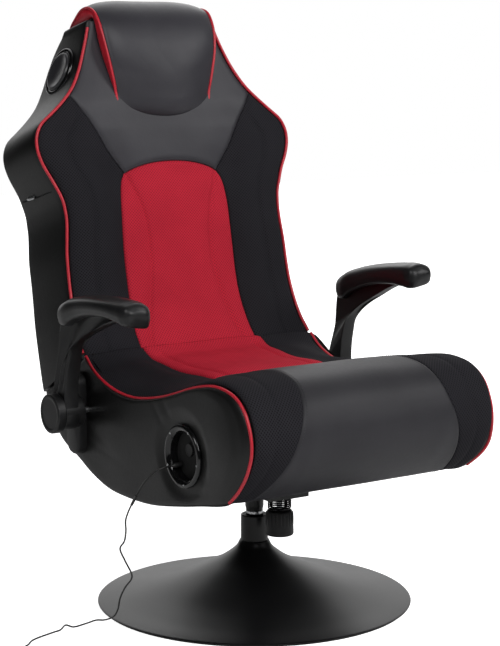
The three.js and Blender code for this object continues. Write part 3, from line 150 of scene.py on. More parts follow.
def mottled(name, scale, detail, dark, light, rough, relief=(), looks=None):
    """A finish whose colour drifts over the piece. The roughness is even, or drifts between two values."""
    finish, tree = blank(name)
    place = add(tree, "ShaderNodeTexCoord")
    cloud = add(tree, "ShaderNodeTexNoise", {"Vector": (place, "Object"), "Scale": scale, "Detail": detail})
    tone = add(tree, "ShaderNodeValToRGB", {"Fac": (cloud, "Fac")}, ((0, dark), (1, light)))
    looks = {"Base Color": (tone, "Color"), "Roughness": rough, **(looks or {})}
    if isinstance(rough, tuple):
        drift = add(tree, "ShaderNodeMapRange", {"Value": (cloud, "Fac"), "To Min": rough[0], "To Max": rough[1]})
        looks["Roughness"] = (drift, "Result")
    if relief:
        bump = add(tree, "ShaderNodeBump", {"Height": (cloud, "Fac"), "Strength": relief[0], "Distance": relief[1]})
        looks["Normal"] = (bump, "Normal")
    skin = add(tree, "ShaderNodeBsdfPrincipled", looks)
    add(tree, "ShaderNodeOutputMaterial", {"Surface": (skin, "BSDF")})
    return finish


# PVC skin: even black, slightly glossy, with a faint ripple.
lead_vinyl = mottled("pvc_cord_skin", 160.0, 2.0, "#141414", "#202020", 0.42, (0.15, 0.0004))

# The profiles are drawn round the column's axis, which stands this far from the origin in Y.
SHIFT = -48.6


def spline(points, steps):
    """A centripetal curve through the points, with that many steps between each two."""
    knots = np.array(points, float)
    knots = np.vstack([2 * knots[0] - knots[1], knots, 2 * knots[-1] - knots[-2]])
    out = []
    for i in range(1, len(knots) - 2):
        p0, p1, p2, p3 = knots[i - 1:i + 3]
        t1 = np.linalg.norm(p1 - p0) ** 0.5
        t2 = t1 + np.linalg.norm(p2 - p1) ** 0.5
        t3 = t2 + np.linalg.norm(p3 - p2) ** 0.5
        t = np.linspace(t1, t2, steps, endpoint=False)[:, None]
        a1 = (t1 - t) / t1 * p0 + t / t1 * p1
        a2 = (t2 - t) / (t2 - t1) * p1 + (t - t1) / (t2 - t1) * p2
        a3 = (t3 - t) / (t3 - t2) * p2 + (t - t2) / (t3 - t2) * p3
        b1 = (t2 - t) / t2 * a1 + t / t2 * a2
        b2 = (t3 - t) / (t3 - t1) * a2 + (t - t1) / (t3 - t1) * a3
        out.append((t2 - t) / (t2 - t1) * b1 + (t - t1) / (t2 - t1) * b2)
    return np.vstack([*out, knots[-2:-1]])


lead_route = [
    (-268, -139, 312), (-281, -140, 311), (-292, -137, 308), (-300, -129, 299), (-302, -115, 288),
    (-302, -93, 268), (-301, -71, 243), (-300, -51, 220), (-299, -39, 200), (-298, -38, 182),
    (-297, -31, 162), (-296, -14, 144), (-296, -31, 126), (-296, -54, 104), (-297, -31, 78),
    (-298, -15, 54), (-298, -8, 34), (-298, 3, 20), (-299, 20, 9.5), (-303, 36, 3.4), (-310, 47, 1.8),
    (-338, 40, 1.6), (-364, 36, 1.6), (-369, 53, 1.6), (-392, 33, 1.6), (-406, 29, 1.6),
    (-458, 10, 1.6), (-478, -9, 1.6), (-515, -28, 1.6), (-548, -50, 1.6), (-552, -53, 1.6),
]
lead_radius, coil_radius, coil_pitch, layer_turns, tail_turns = 1.5, 21.5, 3.6, 2.5, 0.42
run_line = spline(lead_route, 5)
heading = run_line[-1] - np.array(lead_route[-2], float)
heading[2] = 0
heading = heading / np.linalg.norm(heading)
coil_angle = math.atan2(-heading[0], heading[1])
coil_start = run_line[-1] + heading * 0.3
coil_centre = coil_start + heading * 3 - coil_radius * np.array([math.cos(coil_angle), math.sin(coil_angle), 0])


def coil_point(turns):
    """A point on the coil: inward on the first layer, outward on the second, then off to the plug."""
    def ease(share):
        share = min(1, max(0, share))
        return share * share * (3 - 2 * share)
    inward = layer_turns - abs(min(turns, 2 * layer_turns) - layer_turns)
    off = ease((turns - 2 * layer_turns) / tail_turns)
    climb = ease((turns - layer_turns) / 0.5 + 0.5)
    reach = coil_radius - coil_pitch * inward + 12 * off
    angle = coil_angle + 2 * math.pi * turns
    height = (1 - off) * (lead_radius + coil_pitch * climb) + off * 4.5
    return coil_centre + np.array([reach * math.cos(angle), reach * math.sin(angle), height - coil_centre[2]])


all_turns = 2 * layer_turns + tail_turns
wound_line = np.array([coil_point(turns) for turns in np.linspace(0, all_turns, 131)])
tail_angle = coil_angle + 2 * math.pi * (all_turns + 0.25)
tail_heading = np.array([math.cos(tail_angle), math.sin(tail_angle), 0])
lead_line = np.vstack([run_line, coil_start, wound_line, wound_line[-1] + 3 * tail_heading])
lead_line[:, 1] += SHIFT
lead_curve = bpy.data.curves.new("audio_lead", "CURVE")
lead_curve.dimensions = "3D"
lead_curve.bevel_depth = lead_radius / 1000
lead_curve.bevel_resolution = 3
lead_curve.use_fill_caps = True
strand = lead_curve.splines.new("POLY")
strand.points.add(len(lead_line) - 1)
strand.points.foreach_set("co", np.hstack([lead_line / 1000, np.ones((len(lead_line), 1))]).ravel())
lead_curve.materials.append(lead_vinyl)
lead = bpy.data.objects.new("audio_lead", lead_curve)
bpy.context.scene.collection.objects.link(lead)


def shape(name, points, faces, finish, weave=None, smooth=True, crease=40):
    """A mesh piece from points in millimetres, with its weave coordinates in millimetres."""
    mesh = bpy.data.meshes.new(name)
    mesh.from_pydata((np.asarray(points, float) / 1000).tolist(), [], faces)
    if weave is not None:
        layer = mesh.uv_layers.new(name="weave")
        corner = np.zeros(len(mesh.loops), int)
        mesh.loops.foreach_get("vertex_index", corner)
        layer.data.foreach_set("uv", (np.asarray(weave, float)[corner] / 1000).ravel())
    mesh.polygons.foreach_set("use_smooth", [smooth] * len(mesh.polygons))
    if smooth:
        mesh.set_sharp_from_angle(angle=math.radians(crease))
    mesh.materials.append(finish)
    mesh.validate()
    piece = bpy.data.objects.new(name, mesh)
    bpy.context.scene.collection.objects.link(piece)
    return piece


def rounded(corners, reach, steps=5):
    """A line of corners with each inner corner turned into a short curve of that reach."""
    corners = [np.array(c, float) for c in corners]
    out = [corners[0]]
    for before, corner, after in zip(corners, corners[1:], corners[2:]):
        back, on = before - corner, after - corner
        cut = min(reach, 0.48 * np.linalg.norm(back), 0.48 * np.linalg.norm(on))
        start = corner + back / np.linalg.norm(back) * cut
        end = corner + on / np.linalg.norm(on) * cut
        for i in range(steps + 1):
            t = i / steps
            out.append((1 - t) ** 2 * start + 2 * t * (1 - t) * corner + t * t * end)
    return [tuple(p) for p in [*out, corners[-1]]]


def outward_faces(points, faces):
    """The faces turned so that the body they close has its outside out."""
    spots = np.asarray(points, float)
    middle = spots.mean(0)
    volume = 0.0
    for face in faces:
        for k in range(1, len(face) - 1):
            volume += np.dot(spots[face[0]] - middle, np.cross(spots[face[k]] - middle, spots[face[k + 1]] - middle))
    return [face[::-1] for face in faces] if volume < 0 else faces


def turned(name, profile, finish, sides=64, place=None, closed=False):
    """A round piece about Z from [radius, height] pairs, then put in its place."""
    points, rings = [], []
    for radius, height in profile:
        if radius < 1e-6:
            rings.append([len(points)])
            points.append((0, 0, height))
        else:
            rings.append(list(range(len(points), len(points) + sides)))
            angles = [2 * math.pi * i / sides for i in range(sides)]
            points += [(radius * math.cos(a), radius * math.sin(a), height) for a in angles]
    faces = []
    pairs = list(zip(rings, rings[1:])) + ([(rings[-1], rings[0])] if closed else [])
    for low, high in pairs:
        for i in range(sides):
            j = (i + 1) % sides
            quad = list(dict.fromkeys([
                low[i % len(low)], low[j % len(low)], high[j % len(high)], high[i % len(high)],
            ]))
            if len(quad) > 2:
                faces.append(quad)
    spots = np.array(points, float)
    if place is not None:
        spots = place(spots)
    return shape(name, spots, outward_faces(spots, faces), finish)


def plug_place(p):
    """Along -X from the control recess."""
    return np.stack([-p[:, 2], p[:, 0] - 138.9 + SHIFT, 312 + p[:, 1]], 1)


def far_place(p):
    """Lying on the floor at the end of the coil."""
    side = np.array([-tail_heading[1], tail_heading[0], 0])
    end = wound_line[-1] + 3 * tail_heading + (0, SHIFT, 0)
    return end + p[:, 2:3] * tail_heading + p[:, 0:1] * side + p[:, 1:2] * np.array([0, 0, 1])


def tube(name, line, radius, finish, sides=12, closed=False):
    """A round body along a line, with its frame carried along without twisting."""
    line = np.array(line, float)
    count = len(line)
    runs = np.gradient(line, axis=0)
    if closed:
        runs = np.roll(line, -1, 0) - np.roll(line, 1, 0)
    runs /= np.linalg.norm(runs, axis=1)[:, None]
    over = np.cross(runs[0], (0, 0, 1) if abs(runs[0][2]) < 0.9 else (1, 0, 0))
    points, weave, far = [], [], 0.0
    for i in range(count):
        over = over - runs[i] * np.dot(over, runs[i])
        over /= np.linalg.norm(over)
        up = np.cross(runs[i], over)
        far += np.linalg.norm(line[i] - line[i - 1]) if i else 0
        for k in range(sides):
            turn = 2 * math.pi * k / sides
            points.append(line[i] + radius * (math.cos(turn) * over + math.sin(turn) * up))
            weave.append((far, radius * turn))
    faces = []
    for i in range(count if closed else count - 1):
        for k in range(sides):
            n, j = (k + 1) % sides, (i + 1) % count
            faces.append([i * sides + k, i * sides + n, j * sides + n, j * sides + k])
    if not closed:
        for start, order in ((0, 1), ((count - 1) * sides, -1)):
            points.append(line[0] if start == 0 else line[-1])
            weave.append((far if start else 0, 0))
            hub = len(points) - 1
            for k in range(sides):
                pair = [start + (k + 1) % sides, start + k][::order]
                faces.append([hub, *pair])
    return shape(name, points, faces, finish, weave)


plug_profile = [(0, 0), (1.7, 0), (1.7, 9), (4.4, 9.6), (4.4, 22), (3.6, 26), (1.9, 31), (0, 31)]
near_plug = turned("lead_plug", [(r, 236.8 + h) for r, h in plug_profile], lead_vinyl, 24, plug_place)
far_profile = [(0, 0.3), (1.9, 0.3), (3.6, 5), (4.4, 9), (4.4, 25), (1.7, 25), (1.7, 36), (1.2, 38.5), (0, 39)]
far_plug = turned("far_plug", far_profile, lead_vinyl, 24, far_place)
ferrule = tube("lead_ferrule", lead_line[28:33], 2.5, lead_vinyl)


def fit(piece, body, slot, *stands_for, fill=None):
    """Sets a piece on its body, in place of CAD solids. The slot and fill arguments are not used."""
    if stands_for:
        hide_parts(*stands_for)
    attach(piece, body)


fit(near_plug, "seat", "black_rubber", "cord_plug")
fit(far_plug, "seat", "black_rubber", "cord_end")
fit(lead, "seat", "black_rubber", "cord_run", "cord_coil")
fit(ferrule, "seat", "black_rubber")

# Pedestal: a spun steel trumpet with a rolled rim, on a thin rubber ring, and a tube in its neck.
# Powder coat, satin black: soft broad highlights and a very fine pebbled surface.
satin_coat, tree = blank("powder_coated_steel")
place = add(tree, "ShaderNodeTexCoord")
pebble = add(tree, "ShaderNodeTexNoise", {"Vector": (place, "Object"), "Scale": 1400.0, "Detail": 2.0})
patch = add(tree, "ShaderNodeTexNoise", {"Vector": (place, "Object"), "Scale": 7.0, "Detail": 4.0})
rough = add(tree, "ShaderNodeMapRange", {"Value": (patch, "Fac"), "To Min": 0.31, "To Max": 0.39})
tone = add(tree, "ShaderNodeValToRGB", {"Fac": (patch, "Fac")}, ((0, "#0B0B0C"), (1, "#121213")))
bump = add(tree, "ShaderNodeBump", {"Height": (pebble, "Fac"), "Strength": 0.12, "Distance": 0.0003})
skin = add(tree, "ShaderNodeBsdfPrincipled", {
    "Base Color": (tone, "Color"), "Roughness": (rough, "Result"), "Normal": (bump, "Normal"), "IOR": 1.4,
})
add(tree, "ShaderNodeOutputMaterial", {"Surface": (skin, "BSDF")})

# Rubber: dull black with a fine grain.
floor_rubber = mottled("moulded_rubber", 900.0, 3.0, "#0F0F0F", "#1B1B1B", 0.8, (0.3, 0.0003))


def at_column(p):
    """Round the column's axis."""
    return p + (0, SHIFT, 0)


flare = spline([
    (28, 112), (33, 103), (48.5, 89.6), (66, 78), (89, 67), (130, 49), (180, 30), (235, 15.5), (284, 6.6),
], 7)
rim = [(287, 6.1), (288.9, 5.6), (289.9, 4.7), (289.6, 3.7), (288.4, 3.1), (286.6, 3.05), (285.2, 3.3), (281, 4.0)]
inside = [(r, h - 2.6) for r, h in flare[::-1] if r < 270 and r > 31]
trumpet_profile = [tuple(p) for p in flare] + rim + inside + [(25.3, 98), (25.3, 112)]
ring_profile = rounded([(279, 1.5), (279, 0), (285.5, 0), (285.5, 3), (279, 3), (279, 1.5)], 0.8, 3)[:-1]
tube_profile = rounded([(20, 110), (20, 66), (25, 66), (25, 163), (20, 163), (20, 110)], 2.4, 5)[:-1]
collar_profile = rounded([
    (25.2, 112.6), (25.6, 111), (28.2, 111), (27.6, 113.4), (26.2, 114.8), (25.2, 115), (25.2, 112.6),
], 0.6, 3)[:-1]
for name, profile, finish, sides, slot, *stands_for in (
    ("pedestal", trumpet_profile, satin_coat, 128, "satin_black_steel", "trumpet_base"),
    ("rubber_ring", ring_profile, floor_rubber, 128, "black_rubber", "floor_ring"),
    ("column", tube_profile, satin_coat, 72, "satin_black_steel", "column_tube"),
    ("neck_weld", collar_profile, satin_coat, 72, "satin_black_steel"),
):
    fit(turned(name, profile, finish, sides, at_column, True), "base", slot, *stands_for)

# Spindle, clip, bush and bearing ring: turned steel, zinc plated, in a moulded nylon bush.
# Zinc plate: a metal grey with a soft turned sheen.
zinc_plate = mottled("zinc_plated_steel", 90.0, 4.0, "#9FA1A3", "#C9CBCC", (0.22, 0.38), looks={"Metallic": 1.0})

# Moulded polypropylene: near black, semi-matt, with a fine spark-eroded texture.
black_moulding, tree = blank("moulded_polypropylene")
place = add(tree, "ShaderNodeTexCoord")
spark = add(tree, "ShaderNodeTexVoronoi", {"Vector": (place, "Object"), "Scale": 1100.0})
cloud = add(tree, "ShaderNodeTexNoise", {"Vector": (place, "Object"), "Scale": 24.0, "Detail": 3.0})
tone = add(tree, "ShaderNodeValToRGB", {"Fac": (cloud, "Fac")}, ((0, "#0F0F10"), (1, "#161617")))
rough = add(tree, "ShaderNodeMapRange", {"Value": (cloud, "Fac"), "To Min": 0.4, "To Max": 0.52})
bump = add(tree, "ShaderNodeBump", {"Height": (spark, "Distance"), "Strength": 0.18, "Distance": 0.0003})
skin = add(tree, "ShaderNodeBsdfPrincipled", {
    "Base Color": (tone, "Color"), "Roughness": (rough, "Result"), "Normal": (bump, "Normal"), "IOR": 1.42,
})
add(tree, "ShaderNodeOutputMaterial", {"Surface": (skin, "BSDF")})

bearing_profile = rounded([
    (14.4, 166), (14.4, 163.3), (16, 163.3), (16, 169.7), (14.4, 169.7), (14.4, 166),
], 0.7, 3)[:-1]
bearing = turned("bright_bearing", bearing_profile, zinc_plate, 64, at_column, True)
fit(bearing, "swivel", "zinc_steel", "bearing_ring")


def dress(finish, *names):
    """Gives its finish to each CAD piece that is shown as it is."""
    for name in names:
        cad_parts[name].data.materials.clear()
        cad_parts[name].data.materials.append(finish)


dress(zinc_plate, "spindle", "spindle_clip", "tension_bolt", "tilt_pin", "arm_bolt_right", "arm_bolt_left")
dress(black_moulding, "column_bush", "line_socket")
dress(floor_rubber, "stop_buffer")

# Tilt mechanism and back hinges: folded and welded sheet, powder coated like the pedestal. The
# channel turns with the spindle, and the plate and the hinge leaves are screwed to the boards.
dress(satin_coat, "mechanism_channel", "tilt_plate", "hinge_pin_right", "hinge_pin_left")
dress(satin_coat, "seat_hinge_right", "seat_hinge_left", "back_hinge_right", "back_hinge_left")

# Tension knob: a moulded polypropylene hand knob with grip ribs round it. It is screwed on the
# bolt under the front of the seat and sets how hard the chair is to rock.
BOLT_Y = -80
knob_profile = rounded([
    (0, 140.4), (26, 140.4), (25.4, 158), (23, 187.4), (5.4, 187.4), (5.4, 150.6), (0, 150.6),
], 5, 6)
knob = turned("tension_grip", knob_profile, black_moulding, 72, lambda p: p + (0, SHIFT + BOLT_Y, 0))
fit(knob, "tension_knob", "black_plastic", "tension_knob")


def row_tree(name, segments, rings):
    """Small round solids set along a line, each turned to follow it, as one mesh."""
    group = bpy.data.node_groups.new(name, "GeometryNodeTree")
    face = group.interface
    face.new_socket("Line", in_out="INPUT", socket_type="NodeSocketGeometry")
    for label in ("Pitch", "Length", "Width", "Height"):
        face.new_socket(label, in_out="INPUT", socket_type="NodeSocketFloat")
    face.new_socket("Finish", in_out="INPUT", socket_type="NodeSocketMaterial")
    face.new_socket("Row", in_out="OUTPUT", socket_type="NodeSocketGeometry")
    given = group.nodes.new("NodeGroupInput")
    step = {"Curve": (given, "Line"), "Length": (given, "Pitch")}
    spaced = add(group, "GeometryNodeResampleCurve", step, mode="LENGTH")
    solid = add(group, "GeometryNodeMeshUVSphere", {"Segments": segments, "Rings": rings, "Radius": 0.5})
    along = add(group, "GeometryNodeInputTangent")
    facing = add(group, "FunctionNodeAlignRotationToVector", {"Vector": (along, "Tangent")}, axis="X")
    size = add(group, "ShaderNodeCombineXYZ", {
        "X": (given, "Length"), "Y": (given, "Width"), "Z": (given, "Height"),
    })
    row = add(group, "GeometryNodeInstanceOnPoints", {
        "Points": (spaced, "Curve"), "Instance": (solid, "Mesh"),
        "Rotation": (facing, "Rotation"), "Scale": (size, "Vector"),
    })
    real = add(group, "GeometryNodeRealizeInstances", {"Geometry": (row, "Instances")})
    dressed = add(group, "GeometryNodeSetMaterial", {
        "Geometry": (real, "Geometry"), "Material": (given, "Finish"),
    })
    result = group.nodes.new("NodeGroupOutput")
    group.links.new(dressed.outputs["Geometry"], result.inputs["Row"])
    return group


def row_along(name, lines, group, finish, pitch, length, width, height, closed=False):
    """One mesh of the tree's solids along every line, with the sizes in millimetres."""
    guide = bpy.data.curves.new(name, "CURVE")
    guide.dimensions = "3D"
    for line in lines:
        stretch = guide.splines.new("POLY")
        stretch.points.add(len(line) - 1)
        places = np.hstack([np.asarray(line, float) / 1000, np.ones((len(line), 1))])
        stretch.points.foreach_set("co", places.ravel())
        stretch.use_cyclic_u = closed
    carrier = bpy.data.objects.new(name + "_line", guide)
    bpy.context.scene.collection.objects.link(carrier)
    fitted = carrier.modifiers.new("row", "NODES")
    fitted.node_group = group
    sizes = {"Pitch": pitch, "Length": length, "Width": width, "Height": height}
    for socket in group.interface.items_tree:
        if socket.name in sizes:
            fitted[socket.identifier] = sizes[socket.name] / 1000
        elif socket.name == "Finish":
            fitted[socket.identifier] = finish
    bpy.context.view_layer.update()
    graph = bpy.context.evaluated_depsgraph_get()
    mesh = bpy.data.meshes.new_from_object(carrier.evaluated_get(graph), depsgraph=graph)
    mesh.name = name
    bpy.data.objects.remove(carrier)
    row = bpy.data.objects.new(name, mesh)
    bpy.context.scene.collection.objects.link(row)
    return row


def circle(centre, radius, across, up, count=72):
    """Points round a circle that lies in the plane of two directions."""
    across, up = np.array(across), np.array(up)
    turns = [2 * math.pi * i / count for i in range(count)]
    return [np.array(centre) + radius * (math.cos(t) * across + math.sin(t) * up) for t in turns]


GRIP_RADIUS, GRIP_COUNT = 24.2, 24
grips = row_along(
    "tension_grip_ribs", [circle((0, SHIFT + BOLT_Y, 167), GRIP_RADIUS, (1, 0, 0), (0, 1, 0))],
    row_tree("grip_ribs", 10, 8), black_moulding, 2 * math.pi * GRIP_RADIUS / GRIP_COUNT, 3.4, 3.2, 34, True,
)
fit(grips, "tension_knob", "black_plastic")

# Tension spring: a coil of blackened wire round the bolt, between the knob and the channel. It
# shortens when the seat rocks back.
# Oxide-blackened spring steel: dark, with a dull oily sheen.
black_oxide = mottled(
    "blackened_spring_steel", 300.0, 3.0, "#111112", "#222224", (0.35, 0.5), looks={"Metallic": 1.0},
)
COILS, COIL_STEPS, SPRING_RADIUS, SPRING_FOOT, SPRING_RISE = 12, 24, 20.4, 189.3, 44.2
spring_line = []
for i in range(COILS * COIL_STEPS + 1):
    share = i / (COILS * COIL_STEPS)
    turn = 2 * math.pi * COILS * share
    x, y = SPRING_RADIUS * math.cos(turn), SPRING_RADIUS * math.sin(turn)
    spring_line.append((x, y + SHIFT + BOLT_Y, SPRING_FOOT + SPRING_RISE * share))
spring = tube("tension_coil", spring_line, 1.42, black_oxide, 10)
fit(spring, "swivel", "satin_black_steel", "tension_spring")
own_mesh(spring)

# Seat case: a plywood board with a padded side panel at each end and red piping on each edge.
# The panels are foam under black polyurethane leather, drawn tight and stapled underneath.


def pu_leather(name, dark, light, rough_low, rough_high):
    """Polyurethane-coated cloth: an embossed grain of about a millimetre under a soft satin coat."""
    finish, tree = blank(name)
    place = add(tree, "ShaderNodeTexCoord")
    grain = add(tree, "ShaderNodeTexVoronoi", {"Vector": (place, "Object"), "Scale": 760.0}, feature="SMOOTH_F1")
    crease = add(tree, "ShaderNodeTexNoise", {
        "Vector": (place, "Object"), "Scale": 130.0, "Detail": 4.0, "Roughness": 0.6,
    })
    broad = add(tree, "ShaderNodeTexNoise", {"Vector": (place, "Object"), "Scale": 9.0, "Detail": 3.0})
    tone = add(tree, "ShaderNodeValToRGB", {"Fac": (broad, "Fac")}, ((0.3, dark), (0.7, light)))
    rough = add(tree, "ShaderNodeMapRange", {"Value": (crease, "Fac"), "To Min": rough_low, "To Max": rough_high})
    fine = add(tree, "ShaderNodeBump", {"Height": (grain, "Distance"), "Strength": 0.16, "Distance": 0.0004})
    soft = add(tree, "ShaderNodeBump", {
        "Height": (crease, "Fac"), "Strength": 0.12, "Distance": 0.0012, "Normal": (fine, "Normal"),
    })
    skin = add(tree, "ShaderNodeBsdfPrincipled", {
        "Base Color": (tone, "Color"), "Roughness": (rough, "Result"), "Normal": (soft, "Normal"), "IOR": 1.38,
    })
    add(tree, "ShaderNodeOutputMaterial", {"Surface": (skin, "BSDF")})
    return finish


side_leather = pu_leather("black_pu_leather", "#0F0F0F", "#151515", 0.34, 0.46)

# Piping: a cord wrapped in red vinyl, smooth and slightly shiny, with a sewn ripple.
PIPING_RADIUS = 2.9
red_vinyl, tree = blank("red_vinyl_piping")
line = add(tree, "ShaderNodeUVMap", uv_map="weave")
ripple = add(tree, "ShaderNodeTexWave", {"Vector": (line, "UV"), "Scale": 34.0, "Distortion": 1.2, "Detail": 2.0})
place = add(tree, "ShaderNodeTexCoord")
cloud = add(tree, "ShaderNodeTexNoise", {"Vector": (place, "Object"), "Scale": 40.0, "Detail": 3.0})
tone = add(tree, "ShaderNodeValToRGB", {"Fac": (cloud, "Fac")}, ((0, "#A81525"), (1, "#CE2438")))
bump = add(tree, "ShaderNodeBump", {"Height": (ripple, "Fac"), "Strength": 0.12, "Distance": 0.0004})
skin = add(tree, "ShaderNodeBsdfPrincipled", {
    "Base Color": (tone, "Color"), "Roughness": 0.42, "Normal": (bump, "Normal"),
})
add(tree, "ShaderNodeOutputMaterial", {"Surface": (skin, "BSDF")})

# Plywood: birch layers, seen only on the board, the rail and the back board.
birch_ply, tree = blank("birch_plywood")
place = add(tree, "ShaderNodeTexCoord")
turned_grain = add(tree, "ShaderNodeMapping", {"Vector": (place, "Object"), "Scale": (4.0, 60.0, 60.0)})
grain = add(tree, "ShaderNodeTexNoise", {"Vector": (turned_grain, "Vector"), "Scale": 3.0, "Detail": 6.0})
tone = add(tree, "ShaderNodeValToRGB", {"Fac": (grain, "Fac")}, ((0, "#9C774A"), (1, "#C9A877")))
skin = add(tree, "ShaderNodeBsdfPrincipled", {"Base Color": (tone, "Color"), "Roughness": 0.65})
add(tree, "ShaderNodeOutputMaterial", {"Surface": (skin, "BSDF")})
dress(birch_ply, "seat_board", "seat_rail", "back_board")

edge_points = [
    (172, 457), (144, 435), (99, 417), (54, 408), (6, 406), (-45, 412), (-96, 423), (-137, 435), (-177, 448),
    (-216, 458), (-254, 463.5), (-284, 462), (-310, 456), (-328, 446), (-343, 431), (-353, 412), (-359.5, 391),
    (-359.5, 366), (-350, 339), (-335, 315), (-317, 295), (-296, 277.5),
]
belly_points = [
    (-275, 268.5), (-213, 256), (-151, 243), (-54, 227), (34.7, 224.5), (91, 229), (151.8, 246), (200, 267), (257, 288),
]
rear_points = [(297, 320), (318, 354), (324, 369)]
edge_line = spline(edge_points, 6)
belly_line = spline([edge_points[-1], *belly_points, *rear_points], 4)[1:]
CREASE_Y, CREASE_Z, SEAT_SLOPE = 172.0, 454.88, 28.9


def parting(y):
    """The height of the seat's rear face, on which the back stands, at a depth from the column."""
    return CREASE_Z - (y - CREASE_Y) * math.tan(math.radians(SEAT_SLOPE))


rear_face = [(y, parting(y) - 1.0) for y in (318, 290, 260, 230, 200, 182)]
side_outline = np.array([*edge_line, *belly_line, *rear_face])


def loft(name, rings, finish, weave=None, crease=40):
    """A closed body through rings of points, with a fan over each end."""
    count, last = len(rings[0]), (len(rings) - 1) * len(rings[0])
    rings = [np.asarray(ring, float) for ring in rings]
    points = np.vstack([*rings, rings[0].mean(0), rings[-1].mean(0)])
    faces = []
    for start in range(0, last, count):
        for i in range(count):
            j = (i + 1) % count
            faces.append([start + i, start + j, start + count + j, start + count + i])
    for i in range(count):
        j = (i + 1) % count
        faces.append([len(points) - 2, j, i])
        faces.append([len(points) - 1, last + i, last + j])
    if weave is not None:
        weave = np.vstack([weave, weave[:count].mean(0), weave[-count:].mean(0)])
    return shape(name, points, outward_faces(points, faces), finish, weave, crease=crease)


def far_swell(side, y, z):
    """The left end of the seat stands further out where the roll turns under."""
    return (11.0 if side > 0 else 0.0) * np.exp(-(((y + 332) / 44) ** 2) - ((z - 322) / 46) ** 2)


def distances(line):
    """How far along a line each of its points lies."""
    return np.concatenate([[0], np.cumsum(np.linalg.norm(np.diff(line, axis=0), axis=1))])


def even(line, count):
    """The line again with that many points, evenly spaced."""
    line = np.asarray(line, float)
    run = distances(line)
    at = np.linspace(0, run[-1], count)
    return np.stack([np.interp(at, run, line[:, k]) for k in range(line.shape[1])], 1)


RECESS_Y, RECESS_Z = -166.9, 333.0


def recess_place(back, up):
    """A place in the control recess, with Z out of the seat's right side."""
    return lambda p: np.stack([-p[:, 2], p[:, 0] + RECESS_Y + back + SHIFT, RECESS_Z + up + p[:, 1]], 1)


def side_panel(side):
    """A slab with a full face: rings shrink from the outline to the middle of the outer face."""
    centre = np.array([-40.0, 334.0])
    loop = even(side_outline, 261)[:-1]
    loop[:, 1] -= 2.0 * np.clip((300 - loop[:, 1]) / 30, 0, 1)
    rings = []
    for shrink, x in ((1.0, 246.5), (1.0, 250.4), (0.998, 253.4), (0.993, 256.4), (0.984, 258.8), (0.97, 260.8)):
        flat = centre + (loop - centre) * shrink
        out = x + far_swell(side, flat[:, 0], flat[:, 1])
        rings.append(np.stack([side * out, flat[:, 0] + SHIFT, flat[:, 1]], 1))
    for shrink in [0.955, 0.94, *np.linspace(0.92, 0.04, 42)]:
        flat = centre + (loop - centre) * shrink
        y, z = flat[:, 0], flat[:, 1]
        rim_share = min(1.0, (1 - shrink) / 0.12)
        crown = 261.0 + 1.8 * rim_share * (2 - rim_share)
        puff = 6.6 * np.exp(-(((y + 302) / 60) ** 2) - ((z - 356) / 78) ** 2)
        puff = puff + 2.0 * np.exp(-(((y - 40) / 120) ** 2) - ((z - 330) / 60) ** 2)
        folds = np.zeros(len(y))
        for fold_y, fold_z, lean, wide, reach, deep in (
            (-120, 398, 0.9, 7, 60, 0.9), (-92, 388, 0.8, 6, 52, 0.7), (-232, 300, -0.5, 8, 50, 0.9),
            (-205, 276, -0.25, 7, 44, 0.8), (150, 330, 0.35, 9, 80, 0.9), (120, 300, 0.2, 8, 70, 0.7),
        ):
            along = (y - fold_y) * math.cos(lean) + (z - fold_z) * math.sin(lean)
            over = (z - fold_z) * math.cos(lean) - (y - fold_y) * math.sin(lean)
            folds -= deep * np.exp(-((over / wide) ** 2) - (along / reach) ** 2)
        drawn = 0.5 * np.sin(y / 23.0 + 0.6 * np.sin(z / 31.0)) * shrink
        full = crown + (puff + folds + drawn) * rim_share
        if side < 0:
            near = np.clip((np.hypot(y - RECESS_Y, z - RECESS_Z) - 56) / 30, 0, 1)
            full = 258.6 + (full - 258.6) * near * near * (3 - 2 * near)
        rings.append(np.stack([side * (full + 0.7 * far_swell(side, y, z)), y + SHIFT, z], 1))
    return loft("seat_side_" + ("right" if side < 0 else "left"), rings, side_leather)


for word, side in (("right", -1), ("left", 1)):
    panel = side_panel(side)
    if side < 0:
        bore = [(0, 220), (45.5, 220), (45.5, 300), (0, 300)]
        cutter = turned("cup_cutter", bore, side_leather, 96, recess_place(0, 0))
        cut = panel.modifiers.new("recess", "BOOLEAN")
        cut.operation, cut.object, cut.solver = "DIFFERENCE", cutter, "EXACT"
        bpy.context.view_layer.update()
        graph = bpy.context.evaluated_depsgraph_get()
        pierced = bpy.data.meshes.new_from_object(panel.evaluated_get(graph), depsgraph=graph)
        panel.modifiers.clear()
        panel.data = pierced
        bpy.data.objects.remove(cutter)
    fit(panel, "seat", "side_leather", "seat_side_" + word)
    route = [(side * (254.6 + far_swell(side, y, z)), y + SHIFT, z) for y, z in edge_line]
    piping = tube("seat_piping_" + word + "_cord", route, PIPING_RADIUS, red_vinyl)
    fit(piping, "seat", "red_piping", "seat_piping_" + word)

# Seat cushion: moulded foam in a sewn cover. The middle is red spacer mesh with a sewn channel on
# each side, the bolsters and the ends of the roll are black mesh, and the roll's middle is grey
# leather-look cloth. A black lining closes it underneath.


